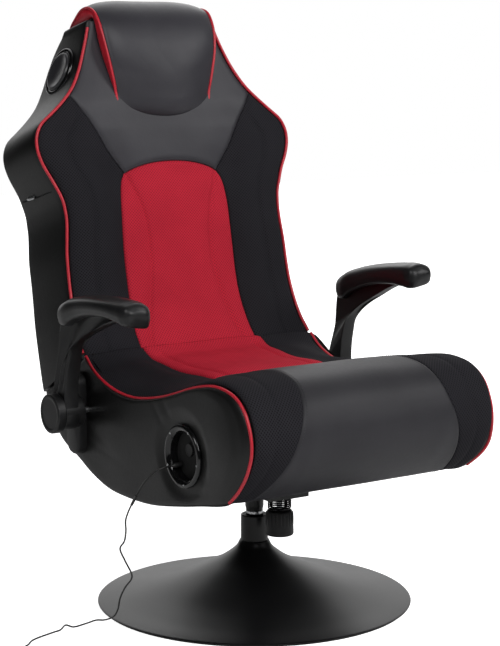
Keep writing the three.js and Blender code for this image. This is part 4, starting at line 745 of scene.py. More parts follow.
def mesh_cloth(name, hole, thread, pitch):
    """Spacer mesh: a matt net of small lozenge holes. The real 3 mm pitch is drawn coarser, to show."""
    finish, tree = blank(name)
    line = add(tree, "ShaderNodeUVMap", uv_map="weave")
    laid = add(tree, "ShaderNodeMapping", {
        "Vector": (line, "UV"), "Rotation": (0, 0, math.radians(45)), "Scale": (1000 / pitch,) * 3,
    })
    even_net = {"Vector": (laid, "Vector"), "Scale": 1.0, "Randomness": 0.0}
    net = add(tree, "ShaderNodeTexVoronoi", even_net, voronoi_dimensions="2D")
    place = add(tree, "ShaderNodeTexCoord")
    cloud = add(tree, "ShaderNodeTexNoise", {"Vector": (place, "Object"), "Scale": 14.0, "Detail": 3.0})
    tone = add(tree, "ShaderNodeValToRGB", {"Fac": (net, "Distance")}, ((0.18, hole), (0.42, thread)))
    shade = add(tree, "ShaderNodeMapRange", {"Value": (cloud, "Fac"), "To Min": 0.86, "To Max": 1.1})
    mixed = {"Factor": 1.0, 6: (tone, "Color"), 7: (shade, "Result")}
    worn = add(tree, "ShaderNodeMix", mixed, data_type="RGBA", blend_type="MULTIPLY")
    bump = add(tree, "ShaderNodeBump", {"Height": (net, "Distance"), "Strength": 0.35, "Distance": 0.0008})
    skin = add(tree, "ShaderNodeBsdfPrincipled", {
        "Base Color": (worn, 2), "Roughness": 0.85, "Normal": (bump, "Normal"),
        "Specular IOR Level": 0.06,
    })
    add(tree, "ShaderNodeOutputMaterial", {"Surface": (skin, "BSDF")})
    return finish


red_net = mesh_cloth("red_spacer_mesh", "#8C1D2B", "#C22B3C", 4.2)
black_net = mesh_cloth("black_spacer_mesh", "#131315", "#2A292D", 4.2)
grey_leather = pu_leather("grey_pu_leather", "#2E2D32", "#36353A", 0.4, 0.5)
# The roll's middle gets a darker, rougher copy of the grey leather: painted shade, for a roll that catches less of the
# lamps' light than the yoke.
shaded_roll_leather = pu_leather("shaded_grey_pu_leather", "#232226", "#2B2A2E", 0.5, 0.6)
lining = pu_leather("black_lining", "#121212", "#181818", 0.7, 0.85)


def reading(pairs):
    """A smooth value over a place, through [place, value] pairs whose places grow."""
    places, values = np.array(pairs, float).T
    slope = np.gradient(values, places)

    def at(place):
        place = np.clip(place, places[0], places[-1])
        i = np.clip(np.searchsorted(places, place) - 1, 0, len(places) - 2)
        gap = places[i + 1] - places[i]
        t = (place - places[i]) / gap
        return (
            (1 + 2 * t) * (1 - t) ** 2 * values[i] + t * (1 - t) ** 2 * gap * slope[i]
            + t * t * (3 - 2 * t) * values[i + 1] + t * t * (t - 1) * gap * slope[i + 1]
        )
    return at


under_line = spline([edge_points[-1], *belly_points[:5]], 5)[1:]
cover_line = np.array([(183, 449.2), (177.6, 453.6), *edge_line, *under_line])
cover_run = distances(cover_line)
cover_y = reading(list(zip(cover_run, cover_line[:, 0])))
cover_z = reading(list(zip(cover_run, cover_line[:, 1])))


def run_at(y):
    """How far along the cover, from the crease, its top reaches a depth."""
    top = cover_line[:, 1] > 400
    return float(np.interp(-y, -cover_line[top][:, 0], cover_run[top]))


ROLL_NOSE = float(cover_run[np.argmin(cover_line[:, 0])])
crown_run = reading([
    (0, 4), (run_at(150), 16), (run_at(108), 30), (run_at(54), 36), (run_at(-30), 36), (run_at(-67), 28),
    (run_at(-110), 22), (run_at(-160), 18.5), (run_at(-232), 17.5), (ROLL_NOSE, 13.5), (ROLL_NOSE + 60, 6.5),
    (ROLL_NOSE + 90, 3.5), (ROLL_NOSE + 150, 1), (cover_run[-1], 1),
])
seat_across = reading([(0, 1), (0.24, 1), (0.46, 0.92), (0.56, 0.8), (0.66, 0.9), (0.82, 0.68), (0.94, 0.32), (1, 0)])
roll_weight = reading([(run_at(-60), 0), (run_at(-130), 0.35), (run_at(-200), 1), (cover_run[-1], 1)])


def seat_surface(x, run):
    """Points of the cover at a place across and along, before seams are drawn in."""
    y, z = cover_y(run), cover_z(run)
    ahead, behind = run + 4.0, run - 4.0
    dy, dz = cover_y(ahead) - cover_y(behind), cover_z(ahead) - cover_z(behind)
    size = np.hypot(dy, dz)
    across = np.minimum(np.abs(x) / 254.0, 1.0)
    share = (1 - roll_weight(run)) * seat_across(across) + roll_weight(run) * (1 - across ** 2) ** 0.3
    rise = crown_run(run) * share
    return np.stack([x, y + SHIFT + rise * dz / size, z - rise * dy / size], -1)


def pad(name, grid, relief, depth, finish, weave, outside):
    """A closed sewn pad on a grid of points: its face is moved by the relief, its back lies deeper."""
    rows, cols = grid.shape[:2]
    along, over = np.gradient(grid, axis=0), np.gradient(grid, axis=1)
    normal = np.cross(along, over)
    normal /= np.maximum(np.linalg.norm(normal, axis=2), 1e-9)[..., None]
    if (normal * np.asarray(outside, float)).sum(2).mean() < 0:
        normal = -normal
    top = grid + normal * relief[..., None]
    under = grid - normal * depth
    points = np.vstack([top.reshape(-1, 3), under.reshape(-1, 3)])
    half = rows * cols
    faces = []
    for i in range(rows - 1):
        for j in range(cols - 1):
            a, b, c, d = i * cols + j, i * cols + j + 1, (i + 1) * cols + j + 1, (i + 1) * cols + j
            faces.append([a, b, c, d])
            faces.append([half + d, half + c, half + b, half + a])
    edge = [*range(cols), *(i * cols + cols - 1 for i in range(1, rows))]
    edge += [(rows - 1) * cols + j for j in range(cols - 2, -1, -1)] + [i * cols for i in range(rows - 2, 0, -1)]
    for k, a in enumerate(edge):
        b = edge[(k + 1) % len(edge)]
        faces.append([b, a, half + a, half + b])
    spots = weave.reshape(-1, 2)
    return shape(name, points, outward_faces(points, faces), finish, np.vstack([spots, spots]), crease=50)


def strips(rows, edges, counts):
    """A panel's places across, closer together near each of its edge lines, and its places along."""
    columns = []
    for k, count in enumerate(counts):
        share = np.arange(count) / count
        share = 0.35 * share + 0.65 * (0.5 - 0.5 * np.cos(np.pi * share))
        columns += [edges[k] + (edges[k + 1] - edges[k]) * t for t in share]
    across = np.stack([*columns, edges[-1]], 1)
    return across, np.repeat(rows[:, None], across.shape[1], 1)


def seam_drop(distance, depth=4.5, reach=13.0):
    """How far a cover is drawn in at a distance from its sewn edge."""
    near = np.clip(distance / reach, 0, 1)
    return -depth * (1 - np.sqrt(1 - (1 - near) ** 2))


def channel(distance, depth=3.2, reach=4.5):
    """The groove of a channel sewn through the cover."""
    share = (distance / reach) ** 2
    return -depth * (np.exp(-share) + 0.5 * np.exp(-share / 3.2 ** 2))


def near_rows(start, end, step):
    """Rows from start to end, closer together at both ends."""
    count = max(8, int(abs(end - start) / step))
    share = np.arange(count + 1) / count
    return start + (end - start) * (0.6 * share + 0.4 * (0.5 - 0.5 * np.cos(np.pi * share)))


def tension(grid, size=0.5):
    """Slight unevenness of drawn cloth over foam."""
    x, y, z = grid[..., 0], grid[..., 1], grid[..., 2]
    return size * (np.sin(x / 31 + 1.3 * np.sin(z / 47)) * np.sin(z / 39 + y / 53) + 0.5 * np.sin(y / 19 + x / 27))


CROSS_SEAM = run_at(-72)
red_edge = reading([(0, 134), (run_at(120), 132.5), (run_at(54), 132), (CROSS_SEAM, 131)])
grey_edge = reading([
    (CROSS_SEAM, 131), (run_at(-200), 132), (run_at(-264), 135), (ROLL_NOSE - 70, 145), (ROLL_NOSE - 30, 158),
    (ROLL_NOSE, 170), (ROLL_NOSE + 45, 185), (ROLL_NOSE + 80, 194), (cover_run[-1], 205),
])
seat_channel = reading([(0, 107), (run_at(100), 103), (run_at(0), 99), (CROSS_SEAM, 95)])

rows = near_rows(1.5, CROSS_SEAM, 4.0)
columns, along = strips(
    rows, [-red_edge(rows), -seat_channel(rows), seat_channel(rows), red_edge(rows)], [10, 40, 10],
)
grid = seat_surface(columns, along)
edge_far = np.minimum.reduce([red_edge(along) - np.abs(columns), CROSS_SEAM - along, along + 4])
relief = seam_drop(np.maximum(edge_far, 0)) + tension(grid)
relief += channel(np.abs(columns) - seat_channel(along)) * np.clip((along - 10) / 20, 0.2, 1)
seat_middle = pad("seat_middle", grid, relief, 12, red_net, np.stack([columns, along], -1), (0, 0, 1))
fit(seat_middle, "seat", "red_mesh", fill=0.8)

# The bolsters and the roll end under the nose, this far short of the end of the cover's line.
end_run = float(cover_run[-1]) - 95
for word, side in (("right", -1), ("left", 1)):
    rows = near_rows(1.5, end_run, 4.5)
    inner = np.where(rows < CROSS_SEAM, red_edge(rows), grey_edge(rows))
    outer = 253.5 + far_swell(side, cover_y(rows), cover_z(rows))
    middle = inner + (outer - inner) * 0.52
    columns, along = strips(rows, [side * inner, side * middle, side * outer], [18, 16])
    grid, reach = seat_surface(columns, along), np.abs(columns)
    inside = np.where(along < CROSS_SEAM, red_edge(along), grey_edge(along))
    edge_far = np.minimum.reduce([reach - inside, outer[:, None] - reach, along + 4, end_run + 1 - along])
    halfway = inside + (253.5 - inside) * 0.52
    faint = np.clip((along - run_at(-190)) / 60, 0, 1)
    flush = np.clip((along - CROSS_SEAM) / 60, 0, 1) * (reach < halfway)
    firm = np.clip((run_at(-20) - along) / 80, 0, 1) * (reach > halfway)
    relief = seam_drop(np.maximum(edge_far, 0), 4.5 - 2.5 * flush - 3.6 * firm, 13.0 - 6.0 * flush)
    relief += 0.4 * faint * channel(reach - halfway) + tension(grid)
    weave = np.stack([columns, along], -1)
    bolster = pad("seat_bolster_" + word, grid, relief, 10, black_net, weave, (0, -0.3, 1))
    fit(bolster, "seat", "black_mesh", fill=0.8)

rows = near_rows(CROSS_SEAM, end_run, 4.5)
columns, along = strips(rows, [-grey_edge(rows), grey_edge(rows)], [64])
grid = seat_surface(columns, along)
edge_far = np.minimum.reduce([
    grey_edge(along) - np.abs(columns), 0.6 * (along - CROSS_SEAM), end_run + 1 - along,
])
relief = seam_drop(np.maximum(edge_far, 0), 2.0, 7.0) + tension(grid, 0.4)
roll_front = pad("roll_front", grid, relief, 10, shaded_roll_leather, np.stack([columns, along], -1), (0, -1, 0.3))
fit(roll_front, "seat", "grey_leather", "front_roll", fill=0.9)

CORE_HALF, CORE_COLUMNS = 246, 25
xs = np.linspace(-CORE_HALF, CORE_HALF, CORE_COLUMNS)
core_rings = []
for y in [*np.linspace(-300, 160, 40), *np.linspace(172, 322, 14)]:
    low = float(np.interp(y, belly_line[:, 0], belly_line[:, 1])) + (1.6 if y > -160 else 6.0)
    if y < 168:
        high = seat_surface(xs, np.full(CORE_COLUMNS, run_at(y)))[:, 2] - 11.0
        high = np.minimum(high, parting(y) - 2.0)
    else:
        # Behind the hinges the foam stands up a little and closes the gap under the back.
        ridge = 2.8 * float(np.clip(min(y - 248, 322 - y) / 12, 0, 1))
        high = np.full(CORE_COLUMNS, parting(y) - 1.2 + ridge)
    high = np.maximum(high, low + 6)
    if y < -270:
        high = np.maximum(low + 6, high - 22)
    bottom = [(x, low + 3 * (abs(x) / CORE_HALF) ** 8) for x in xs[::-1]]
    core_rings.append([(x, y + SHIFT, z) for x, z in [*zip(xs, high), *bottom]])
seat_core = loft("seat_foam_and_lining", core_rings, lining)
fit(seat_core, "seat", "soft_pad", "seat_cushion", fill=0.9)

# Control recess: a glossy moulded cup and bezel in the right side, held by four small screws,
# with two knobs, a button, a line socket and two small light bars.
# Gloss ABS: deep black, mirror-like, with faint dust.
gloss_abs, tree = blank("polished_abs")
place = add(tree, "ShaderNodeTexCoord")
dust = add(tree, "ShaderNodeTexNoise", {"Vector": (place, "Object"), "Scale": 300.0, "Detail": 5.0})
rough = add(tree, "ShaderNodeMapRange", {
    "Value": (dust, "Fac"), "From Min": 0.4, "From Max": 0.8, "To Min": 0.1, "To Max": 0.22,
})
tone = add(tree, "ShaderNodeValToRGB", {"Fac": (dust, "Fac")}, ((0, "#0A0A0B"), (1, "#131314")))
skin = add(tree, "ShaderNodeBsdfPrincipled", {"Base Color": (tone, "Color"), "Roughness": (rough, "Result")})
add(tree, "ShaderNodeOutputMaterial", {"Surface": (skin, "BSDF")})

# Light bars: milky green lenses, lit.
green_lens, tree = blank("lit_lens")
place = add(tree, "ShaderNodeTexCoord")
haze = add(tree, "ShaderNodeTexNoise", {"Vector": (place, "Object"), "Scale": 500.0})
tone = add(tree, "ShaderNodeValToRGB", {"Fac": (haze, "Fac")}, ((0, "#8FB79A"), (1, "#CFE8D2")))
skin = add(tree, "ShaderNodeBsdfPrincipled", {
    "Base Color": (tone, "Color"), "Roughness": 0.3, "Emission Color": (tone, "Color"), "Emission Strength": 0.35,
})
add(tree, "ShaderNodeOutputMaterial", {"Surface": (skin, "BSDF")})

# Circuit board: green solder mask.
board_green, tree = blank("solder_mask")
place = add(tree, "ShaderNodeTexCoord")
traces = add(tree, "ShaderNodeTexBrick", {
    "Vector": (place, "Object"), "Scale": 120.0,
    "Color1": hue("#1F5A35"), "Color2": hue("#24633C"), "Mortar": hue("#2F7A4B"),
})
skin = add(tree, "ShaderNodeBsdfPrincipled", {"Base Color": (traces, "Color"), "Roughness": 0.4})
add(tree, "ShaderNodeOutputMaterial", {"Surface": (skin, "BSDF")})
dress(board_green, "amplifier_board")


def fluted(place, flutes):
    """The place with shallow finger grooves pressed into whatever is turned there."""
    def grooved(p):
        angle = np.arctan2(p[:, 1], p[:, 0])
        grip = 1 + (0.035 * np.cos(flutes * angle) if flutes else 0)
        return place(np.stack([p[:, 0] * grip, p[:, 1] * grip, p[:, 2]], 1))
    return grooved


CUP_FLOOR = 237.1
cup_profile = rounded([
    (0, 234.6), (43.8, 234.6), (43.8, 259), (41.6, 259), (41.6, 240), (38, CUP_FLOOR), (0, CUP_FLOOR),
], 2.5, 5)
bezel_profile = rounded([
    (41.4, 259.5), (41.4, 258.4), (55, 258.4), (55, 262.8), (53, 265.6), (48.5, 266.2), (43.6, 263.6),
    (41.4, 260.6), (41.4, 259.5),
], 1.4, 5)[:-1]
cup = turned("recess_cup", cup_profile, gloss_abs, 96, recess_place(0, 0))
bezel = turned("recess_bezel", bezel_profile, gloss_abs, 128, recess_place(0, 0), True)
fit(cup, "seat", "gloss_black_plastic", "control_cup")
fit(bezel, "seat", "gloss_black_plastic", "control_ring")
SCREW_RADIUS, SLANT = 48.6, 0.7071
screw_circle = circle(
    (-264.9, RECESS_Y + SHIFT, RECESS_Z), SCREW_RADIUS, (0, SLANT, SLANT), (0, -SLANT, SLANT), 96,
)
screws = row_along(
    "bezel_screws", [screw_circle], row_tree("bezel_screws", 16, 8), zinc_plate,
    2 * math.pi * SCREW_RADIUS / 4 * 0.9995, 4.4, 4.2, 4.2, True,
)
fit(screws, "seat", "zinc_steel")
for name, back, up, radius, height, flutes in (
    ("volume_knob", 0, 9, 11.5, 13, 20), ("bass_knob", -24, 8, 7, 10, 20), ("power_button", 23, 9, 6, 7, 0),
):
    foot, top = CUP_FLOOR + 0.5, CUP_FLOOR + height
    profile = rounded([
        (0, foot), (radius, foot), (radius * 0.94, top), (radius * 0.6, top - 0.6), (0, top - 0.6),
    ], 0.9, 4)
    control = turned(name + "_cap", profile, black_moulding, 180, fluted(recess_place(back, up), flutes))
    fit(control, name, "black_plastic", name)
bar_profile = rounded([(0, CUP_FLOOR), (2.0, CUP_FLOOR), (2.0, 239), (0, 239)], 0.5, 3)
for k, back in enumerate((8, 15)):
    in_cup = recess_place(back, -17)
    bar = turned("light_bar_%d" % k, bar_profile, green_lens, 20, lambda p: in_cup(p * (1, 2.6, 1)))
    fit(bar, "seat", "gloss_black_plastic")

# Arms: a side bracket on the seat, and a ribbed moulded stem that flips up on its pivot with a
# round cap outside and a soft moulded rest on top.
PIVOT_Y, PIVOT_Z = 152.0, 363.0
lift = math.radians(5.5)
arm_rear = spline([(31, -6), (28, 12), (19.4, 32.4), (12, 60.5), (2, 97), (-3, 125), (-10, 152), (-18, 166)], 6)
arm_front = spline([
    (-31, -6), (-27, 18), (-27, 44), (-33, 77), (-40, 99), (-49, 122), (-73, 142), (-106, 158), (-140, 169),
    (-177, 178), (-212, 183), (-238, 187),
], 6)
REST_LENGTH, REST_HEIGHT, REST_REAR = 252, 216, 20
pad_top = reading([
    (0, 0.885), (0.04, 0.94), (0.12, 0.987), (0.27, 1.026), (0.43, 1.05), (0.62, 1.063), (0.8, 1.066),
    (0.92, 1.058), (0.97, 1.038), (1, 0.985),
])
pad_under = reading([
    (0, 0.79), (0.04, 0.755), (0.1, 0.753), (0.18, 0.798), (0.33, 0.852), (0.5, 0.882), (0.66, 0.89), (0.76, 0.885),
    (0.85, 0.868), (0.94, 0.855), (0.975, 0.87), (1, 0.93),
])
pad_width = reading([
    (0, 0.42), (0.012, 0.6), (0.04, 0.8), (0.1, 0.94), (0.3, 0.98), (0.85, 1), (0.93, 0.93), (0.97, 0.8),
    (0.99, 0.62), (1, 0.42),
])
rest_section = spline([
    (0, 0), (0.5, 0.005), (0.76, 0.05), (0.92, 0.16), (0.99, 0.32), (1, 0.5), (0.985, 0.63), (0.92, 0.75),
    (0.78, 0.85), (0.5, 0.94), (0.2, 0.99), (0, 1),
], 5)


def arm_place(side):
    """From the arm's own frame at its pivot to the chair, the left arm resting a little higher."""
    turn = 0 if side < 0 else -lift
    c, s = math.cos(turn), math.sin(turn)

    def place(p):
        p = np.asarray(p, float)
        y, z = p[..., 1] * c - p[..., 2] * s, p[..., 1] * s + p[..., 2] * c
        return np.stack([p[..., 0], y + PIVOT_Y + SHIFT, z + PIVOT_Z], -1)
    return place


soft_skin = pu_leather("soft_integral_foam", "#19191A", "#212122", 0.3, 0.42)
for word, side in (("right", -1), ("left", 1)):
    place = arm_place(side)
    toe = np.array([(31 * math.cos(t), -6 - 25.5 * math.sin(t)) for t in np.radians(np.linspace(80, 8, 9))])
    rear, ahead = np.vstack([toe, even(arm_rear, 64)]), np.vstack([toe * (-1, 1), even(arm_front, 64)])
    across = np.linspace(0, 1, 41)
    rings = []
    for b in range(-len(toe), 64):
        rear_spot, front_spot = rear[b + len(toe)], ahead[b + len(toe)]
        spread = np.linalg.norm(front_spot - rear_spot)
        rounding = min(0.3, 3.4 / spread)
        edge = np.minimum(across, 1 - across)
        roll = 3.4 * (1 - np.sqrt(np.clip(1 - (1 - np.clip(edge / rounding, 0, 1)) ** 2, 0, 1)))
        rise = np.clip(b / 12 - 0.6, 0, 1)
        ridge = rise * 4.6 * (0.5 + 0.5 * np.cos(2 * math.pi * (across - 0.05) / 0.43)) ** 1.2
        yz = rear_spot + across[:, None] * (front_spot - rear_spot)
        under = REST_HEIGHT * pad_under(np.clip(-(yz[:, 0] + REST_REAR) / REST_LENGTH, 0, 1)) + 3.0
        join = np.clip((b - 44) / 19, 0, 1) ** 1.6
        yz[:, 1] += join * (under - yz[:, 1])
        out = np.stack([side * (325 - 4.6 * rise - roll + ridge), yz[:, 0], yz[:, 1]], 1)
        slim = 9 * np.clip((b - 18) / 24, 0, 1)
        inner = np.stack([side * (296 + slim + roll), yz[:, 0], yz[:, 1]], 1)[::-1]
        rings.append(place(np.vstack([out, inner])))
    stem = loft("arm_stem_" + word + "_moulding", rings, black_moulding)
    fit(stem, "arm_" + word, "black_plastic", "arm_stem_" + word)

    def to_side(p, side=side, place=place):
        return place(np.stack([side * p[:, 2], p[:, 0], p[:, 1]], 1))
    hub_profile = rounded([(0, 282.6), (30, 282.6), (30, 323.8), (0, 323.8)], 3, 5)
    hub = turned("arm_hub_" + word, hub_profile, black_moulding, 72, to_side)
    fit(hub, "arm_" + word, "black_plastic")
    cap_profile = rounded([(0, 324.4), (36, 324.4), (36, 342), (30, 342.6), (27, 341.4), (0, 341.8)], 4, 6)
    cap = turned("arm_disc_" + word, cap_profile, black_moulding, 96, to_side)
    fit(cap, "arm_" + word, "black_plastic", "arm_cap_" + word)
    half_ring = even(rest_section, 30)
    outline = np.vstack([half_ring, half_ring[-2:0:-1] * (-1, 1)])
    tuck = 1 - 0.035 * np.exp(-(((outline[:, 1] - 0.24) / 0.035) ** 2)) * (np.abs(outline[:, 0]) > 0.5)
    rings, weave = [], []
    for share in near_rows(0, 1, 1 / 70):
        low, high, wide = pad_under(share), pad_top(share), 30 * pad_width(share)
        lean = side * outline[:, 0] * (1 - outline[:, 1]) * (2.0 + 2.6 * share)
        ring = np.stack([
            side * 315 + outline[:, 0] * tuck * wide,
            np.full(len(outline), REST_LENGTH * (1 - share) - (REST_LENGTH + REST_REAR)),
            REST_HEIGHT * (low + (high - low) * outline[:, 1]) + lean,
        ], 1)
        weave += [(share * REST_LENGTH, k * 4.0) for k in range(len(outline))]
        rings.append(place(ring))
    rest = loft("arm_rest_" + word, rings, soft_skin, np.array(weave), 60)
    fit(rest, "arm_" + word, "soft_pad", "arm_pad_" + word, fill=0.9)
    bar = []
    for turn in np.linspace(0, 2 * math.pi, 64, endpoint=False):
        centre = 44 if math.sin(turn) >= 0 else -64
        bar.append((26 + 22 * math.cos(turn), centre + 22 * math.sin(turn)))
    bar, hold = np.array(bar), np.array([26.0, -8.0])
    inward = (hold - bar) / np.linalg.norm(hold - bar, axis=1)[:, None]
    rings = []
    for x, inset in ((258.4, 0), (274, 0), (278.5, 1.2), (281.2, 3.6), (282.4, 7.5)):
        y, z = (bar + inward * inset + (PIVOT_Y + SHIFT, PIVOT_Z)).T
        rings.append(np.stack([np.full(len(bar), side * x), y, z], 1))
    bracket = loft("arm_bracket_" + word + "_plate", rings, black_moulding)
    fit(bracket, "seat", "black_plastic", "arm_bracket_" + word)

# Back shell: a board and frame wrapped in foam and black leather-look cloth, round the sides and
# over the rear, with red piping along each front edge.
RECLINE = 13.5
COS, SIN = math.cos(math.radians(RECLINE)), math.sin(math.radians(RECLINE))


def on_back(p):
    """From the back's own frame (across, rearward, up along it) to the chair."""
    p = np.asarray(p, float)
    return np.stack([
        p[..., 0], CREASE_Y + SHIFT + p[..., 1] * COS + p[..., 2] * SIN, CREASE_Z - p[..., 1] * SIN + p[..., 2] * COS,
    ], -1)


half_at = reading([
    (-20, 258), (0, 258), (60, 254), (103, 251), (192, 248), (275, 243), (295, 246), (314, 253), (337, 263),
    (370, 279), (395, 285), (420, 282), (440, 270), (456, 250), (476, 226), (500, 202), (537, 178),
    (574, 161.5), (607, 149), (640, 139),
])
front_at = reading([
    (-20, 2), (0, 6), (38, 24), (103, 38), (150, 40), (186, 38.6), (222, 36), (275, 32), (314, 32), (337, 34),
    (395, 31.6), (436, 29), (476, 26.5), (500, 28), (574, 34), (640, 34),
])
rear_at = reading([
    (-46, 167), (34, 182), (66, 187), (160, 188), (267, 187), (330, 171), (412, 169), (470, 174), (567, 175),
    (597, 164), (634, 128), (640, 120),
])
FOOT_SLOPE = math.tan(math.radians(SEAT_SLOPE - RECLINE))
SHELL_TOP = 632.0


def aft_at(s, inset=0.0):
    """How far out the rear corner of the back's side stands at a height."""
    above = 8 * float(np.clip((s - 200) / 60, 0, 1))
    return half_at(min(SHELL_TOP, s + above)) - inset + 1.6


def shell_side(s, n, inset=0.0):
    """How far out the cover of the back's side stands at a height and a depth."""
    half, front, rear = half_at(s) - inset, front_at(s) + 1.5, rear_at(s) + 1.5 - inset
    t = (n - front) / (rear - 11 - front)
    return half + (aft_at(s, inset) - half) * t + 2.0 * math.sin(math.pi * min(1, max(0, t))) ** 0.7


rings = []
stations = [0.6, *np.linspace(6, 96, 16), *np.linspace(102, 600, 84), *np.linspace(604, SHELL_TOP, 8)]
for s, inset in [*((s, 0) for s in stations), (634.5, 0.8), (636.5, 2.4), (637.8, 5), (638.4, 9)]:
    s0 = min(s, SHELL_TOP)
    half, front, rear = half_at(s0) - inset, front_at(s0) + 1.5, rear_at(s0) + 1.5 - inset
    aft = aft_at(s0, inset)
    side_line = [(half - 8, front), (half - 3.2, front), (half - 0.9, front + 1.2), (half, front + 4)]
    for t in np.linspace(0.08, 0.84, 9):
        n = front + (rear - 11 - front) * t
        side_line.append((shell_side(s0, n, inset), n + 4 * (1 - t)))
    for turn in np.linspace(0, math.pi / 2, 9):
        side_line.append((aft + 0.6 - 11 * (1 - math.cos(turn)), rear - 11 * (1 - math.sin(turn))))
    for t in np.linspace(0.12, 0.88, 7):
        side_line.append(((aft - 10.4) * (1 - t), rear + 3.0 * math.sin(t * math.pi / 2)))
    section = side_line + [(0, rear + 3.0)] + [(-x, n) for x, n in side_line[::-1]]
    slant = max(0.0, 1 - s / 90)
    rings.append(on_back([(x, n, s - n * FOOT_SLOPE * slant) for x, n in section]))
shell = loft("back_shell_cover", rings, side_leather, crease=60)
fit(shell, "back", "side_leather", "back_shell")
for word, side in (("right", -1), ("left", 1)):
    route = [(side * (half_at(s) - 2.6), front_at(s) - 0.6, s) for s in np.linspace(8, 622, 170)]
    piping = tube("back_piping_" + word + "_cord", on_back(route), PIPING_RADIUS, red_vinyl)
    fit(piping, "back", "red_piping", "back_piping_" + word)

# Zip in the near side of the back, for reaching the sound unit: black coil teeth, with a plated
# slider and tab. It is sewn into the shell's cover.
ZIP_UP, TAB_BACK = 314, 122
zip_line = on_back([
    (-shell_side(ZIP_UP, n) - 0.2, n, ZIP_UP + 1.2 * math.sin(n / 24)) for n in np.linspace(50, 158, 80)
])
zip_teeth = row_along("zip_teeth", [zip_line], row_tree("zip_teeth", 8, 6), black_moulding, 2.6, 2.2, 2.4, 3.6)
fit(zip_teeth, "back", "black_plastic")
tab_rings = []
for out, inset in ((0.6, 0.8), (1.2, 0), (3.4, 0), (4.0, 0.8)):
    ring = []
    for turn in np.linspace(0, 2 * math.pi, 40, endpoint=False):
        along, over = math.cos(turn), math.sin(turn)
        wide = 3.9 - 1.2 * along - inset
        n = TAB_BACK + (14.5 - inset) * math.copysign(abs(along) ** 0.6, along)
        s = ZIP_UP + 1.5 + wide * math.copysign(abs(over) ** 0.6, over)
        ring.append((-shell_side(ZIP_UP, TAB_BACK) - out, n, s))
    tab_rings.append(on_back(ring))
fit(loft("zip_tab", tab_rings, zinc_plate), "back", "zinc_steel")

# Back cushion: foam in a sewn cover of three stuffs. A red mesh middle with two sewn channels
# runs up to a rounded top, black mesh bolsters stand at its sides, and a grey yoke closes it.
back_across = reading([
    (0, 0.5), (0.3, 0.46), (0.44, 0.26), (0.5, 0.24), (0.6, 0.74), (0.72, 1), (0.84, 0.9), (0.94, 0.5), (1, 0),
])
yoke_across = reading([(0, 0.62), (0.5, 0.64), (0.8, 0.6), (0.93, 0.34), (1, 0)])
back_crown = reading([(-20, 5), (0, 7), (64, 14), (128, 18), (320, 18), (410, 15), (467, 10), (512, 6), (640, 4)])
YOKE_FOOT, BOLSTER_TOP = 341, 494
red_side = reading([
    (-4, 131), (0, 130.5), (50, 127), (106, 123.5), (134, 123), (190, 123), (245, 121), (292, 118.5),
    (315, 115.5), (330, 111), (YOKE_FOOT, 104),
])
yoke_side = reading([(YOKE_FOOT, 104), (387, 138), (414, 153), (444, 171), (464, 185), (BOLSTER_TOP, 204)])
back_channel = reading([
    (-4, 108), (14, 104), (55, 92), (107, 80), (157, 71), (214, 70), (250, 73), (283, 81), (331, 99),
    (YOKE_FOOT, 102),
])
bolster_seam = reading([
    (0, 0.59), (110, 0.6), (165, 0.58), (218, 0.56), (268, 0.55), (316, 0.58), (352, 0.64), (386, 0.58), (407, 0.53),
    (430, 0.38), (454, 0.18), (BOLSTER_TOP, 0.04),
])
TOP_ARCH = 20.0


def back_surface(x, s):
    """Points of the back's cover at a place across and up, before seams are drawn in."""
    across, upper = np.minimum(np.abs(x) / half_at(s), 1.0), np.clip((s - 345) / 80, 0, 1)
    full = back_across(across) * (1 - upper) + yoke_across(across) * upper
    return on_back(np.stack([x, front_at(s) - back_crown(s) * full, s], -1))


def arch(x):
    """How far the top of the red middle rises over its corners."""
    return TOP_ARCH * (1 - np.minimum(np.abs(x) / 104, 1) ** 2.2)


rows = near_rows(-8.0, YOKE_FOOT, 4.5)
columns, up = strips(
    rows, [-red_side(rows), -back_channel(rows), back_channel(rows), red_side(rows)], [10, 36, 10],
)
up = up + arch(columns) * np.clip((up - 200) / 141, 0, 1) ** 2
grid, level = back_surface(columns, up), np.minimum(up, YOKE_FOOT)
edge_far = np.minimum.reduce([red_side(level) - np.abs(columns), YOKE_FOOT + arch(columns) - up, up + 12])
shallow = np.clip(np.minimum(352 - up, up + 8) / 20, 0.2, 1)
relief = seam_drop(np.maximum(edge_far, 0)) + channel(np.abs(columns) - back_channel(level)) * shallow + tension(grid)
back_middle = pad("back_middle", grid, relief, 12, red_net, np.stack([columns, up], -1), (0, -1, 0))
fit(back_middle, "back", "red_mesh", fill=0.85)

for word, side in (("right", -1), ("left", 1)):
    rows = near_rows(-8.0, BOLSTER_TOP, 4.5)
    inner = np.where(rows < YOKE_FOOT, red_side(rows), yoke_side(rows))
    outer = np.maximum(half_at(rows) - 5, inner + 2)
    middle = inner + (outer - inner) * bolster_seam(rows)
    columns, up = strips(rows, [side * inner, side * middle, side * outer], [16, 16])
    grid, reach = back_surface(columns, up), np.abs(columns)
    inside = np.where(up < YOKE_FOOT, red_side(up), yoke_side(up))
    outside = np.maximum(half_at(up) - 5, inside + 2)
    seam = inside + (outside - inside) * bolster_seam(up)
    edge_far = np.minimum.reduce([reach - inside, outside - reach, up + 12])
    fade = np.clip((470 - up) / 40, 0, 1)
    relief = seam_drop(np.maximum(edge_far, 0)) + 0.95 * fade * channel(reach - seam) + tension(grid)
    weave = np.stack([columns, up], -1)
    bolster = pad("back_bolster_" + word, grid, relief, 10, black_net, weave, (0, -1, 0))
    fit(bolster, "back", "black_mesh", fill=0.85)

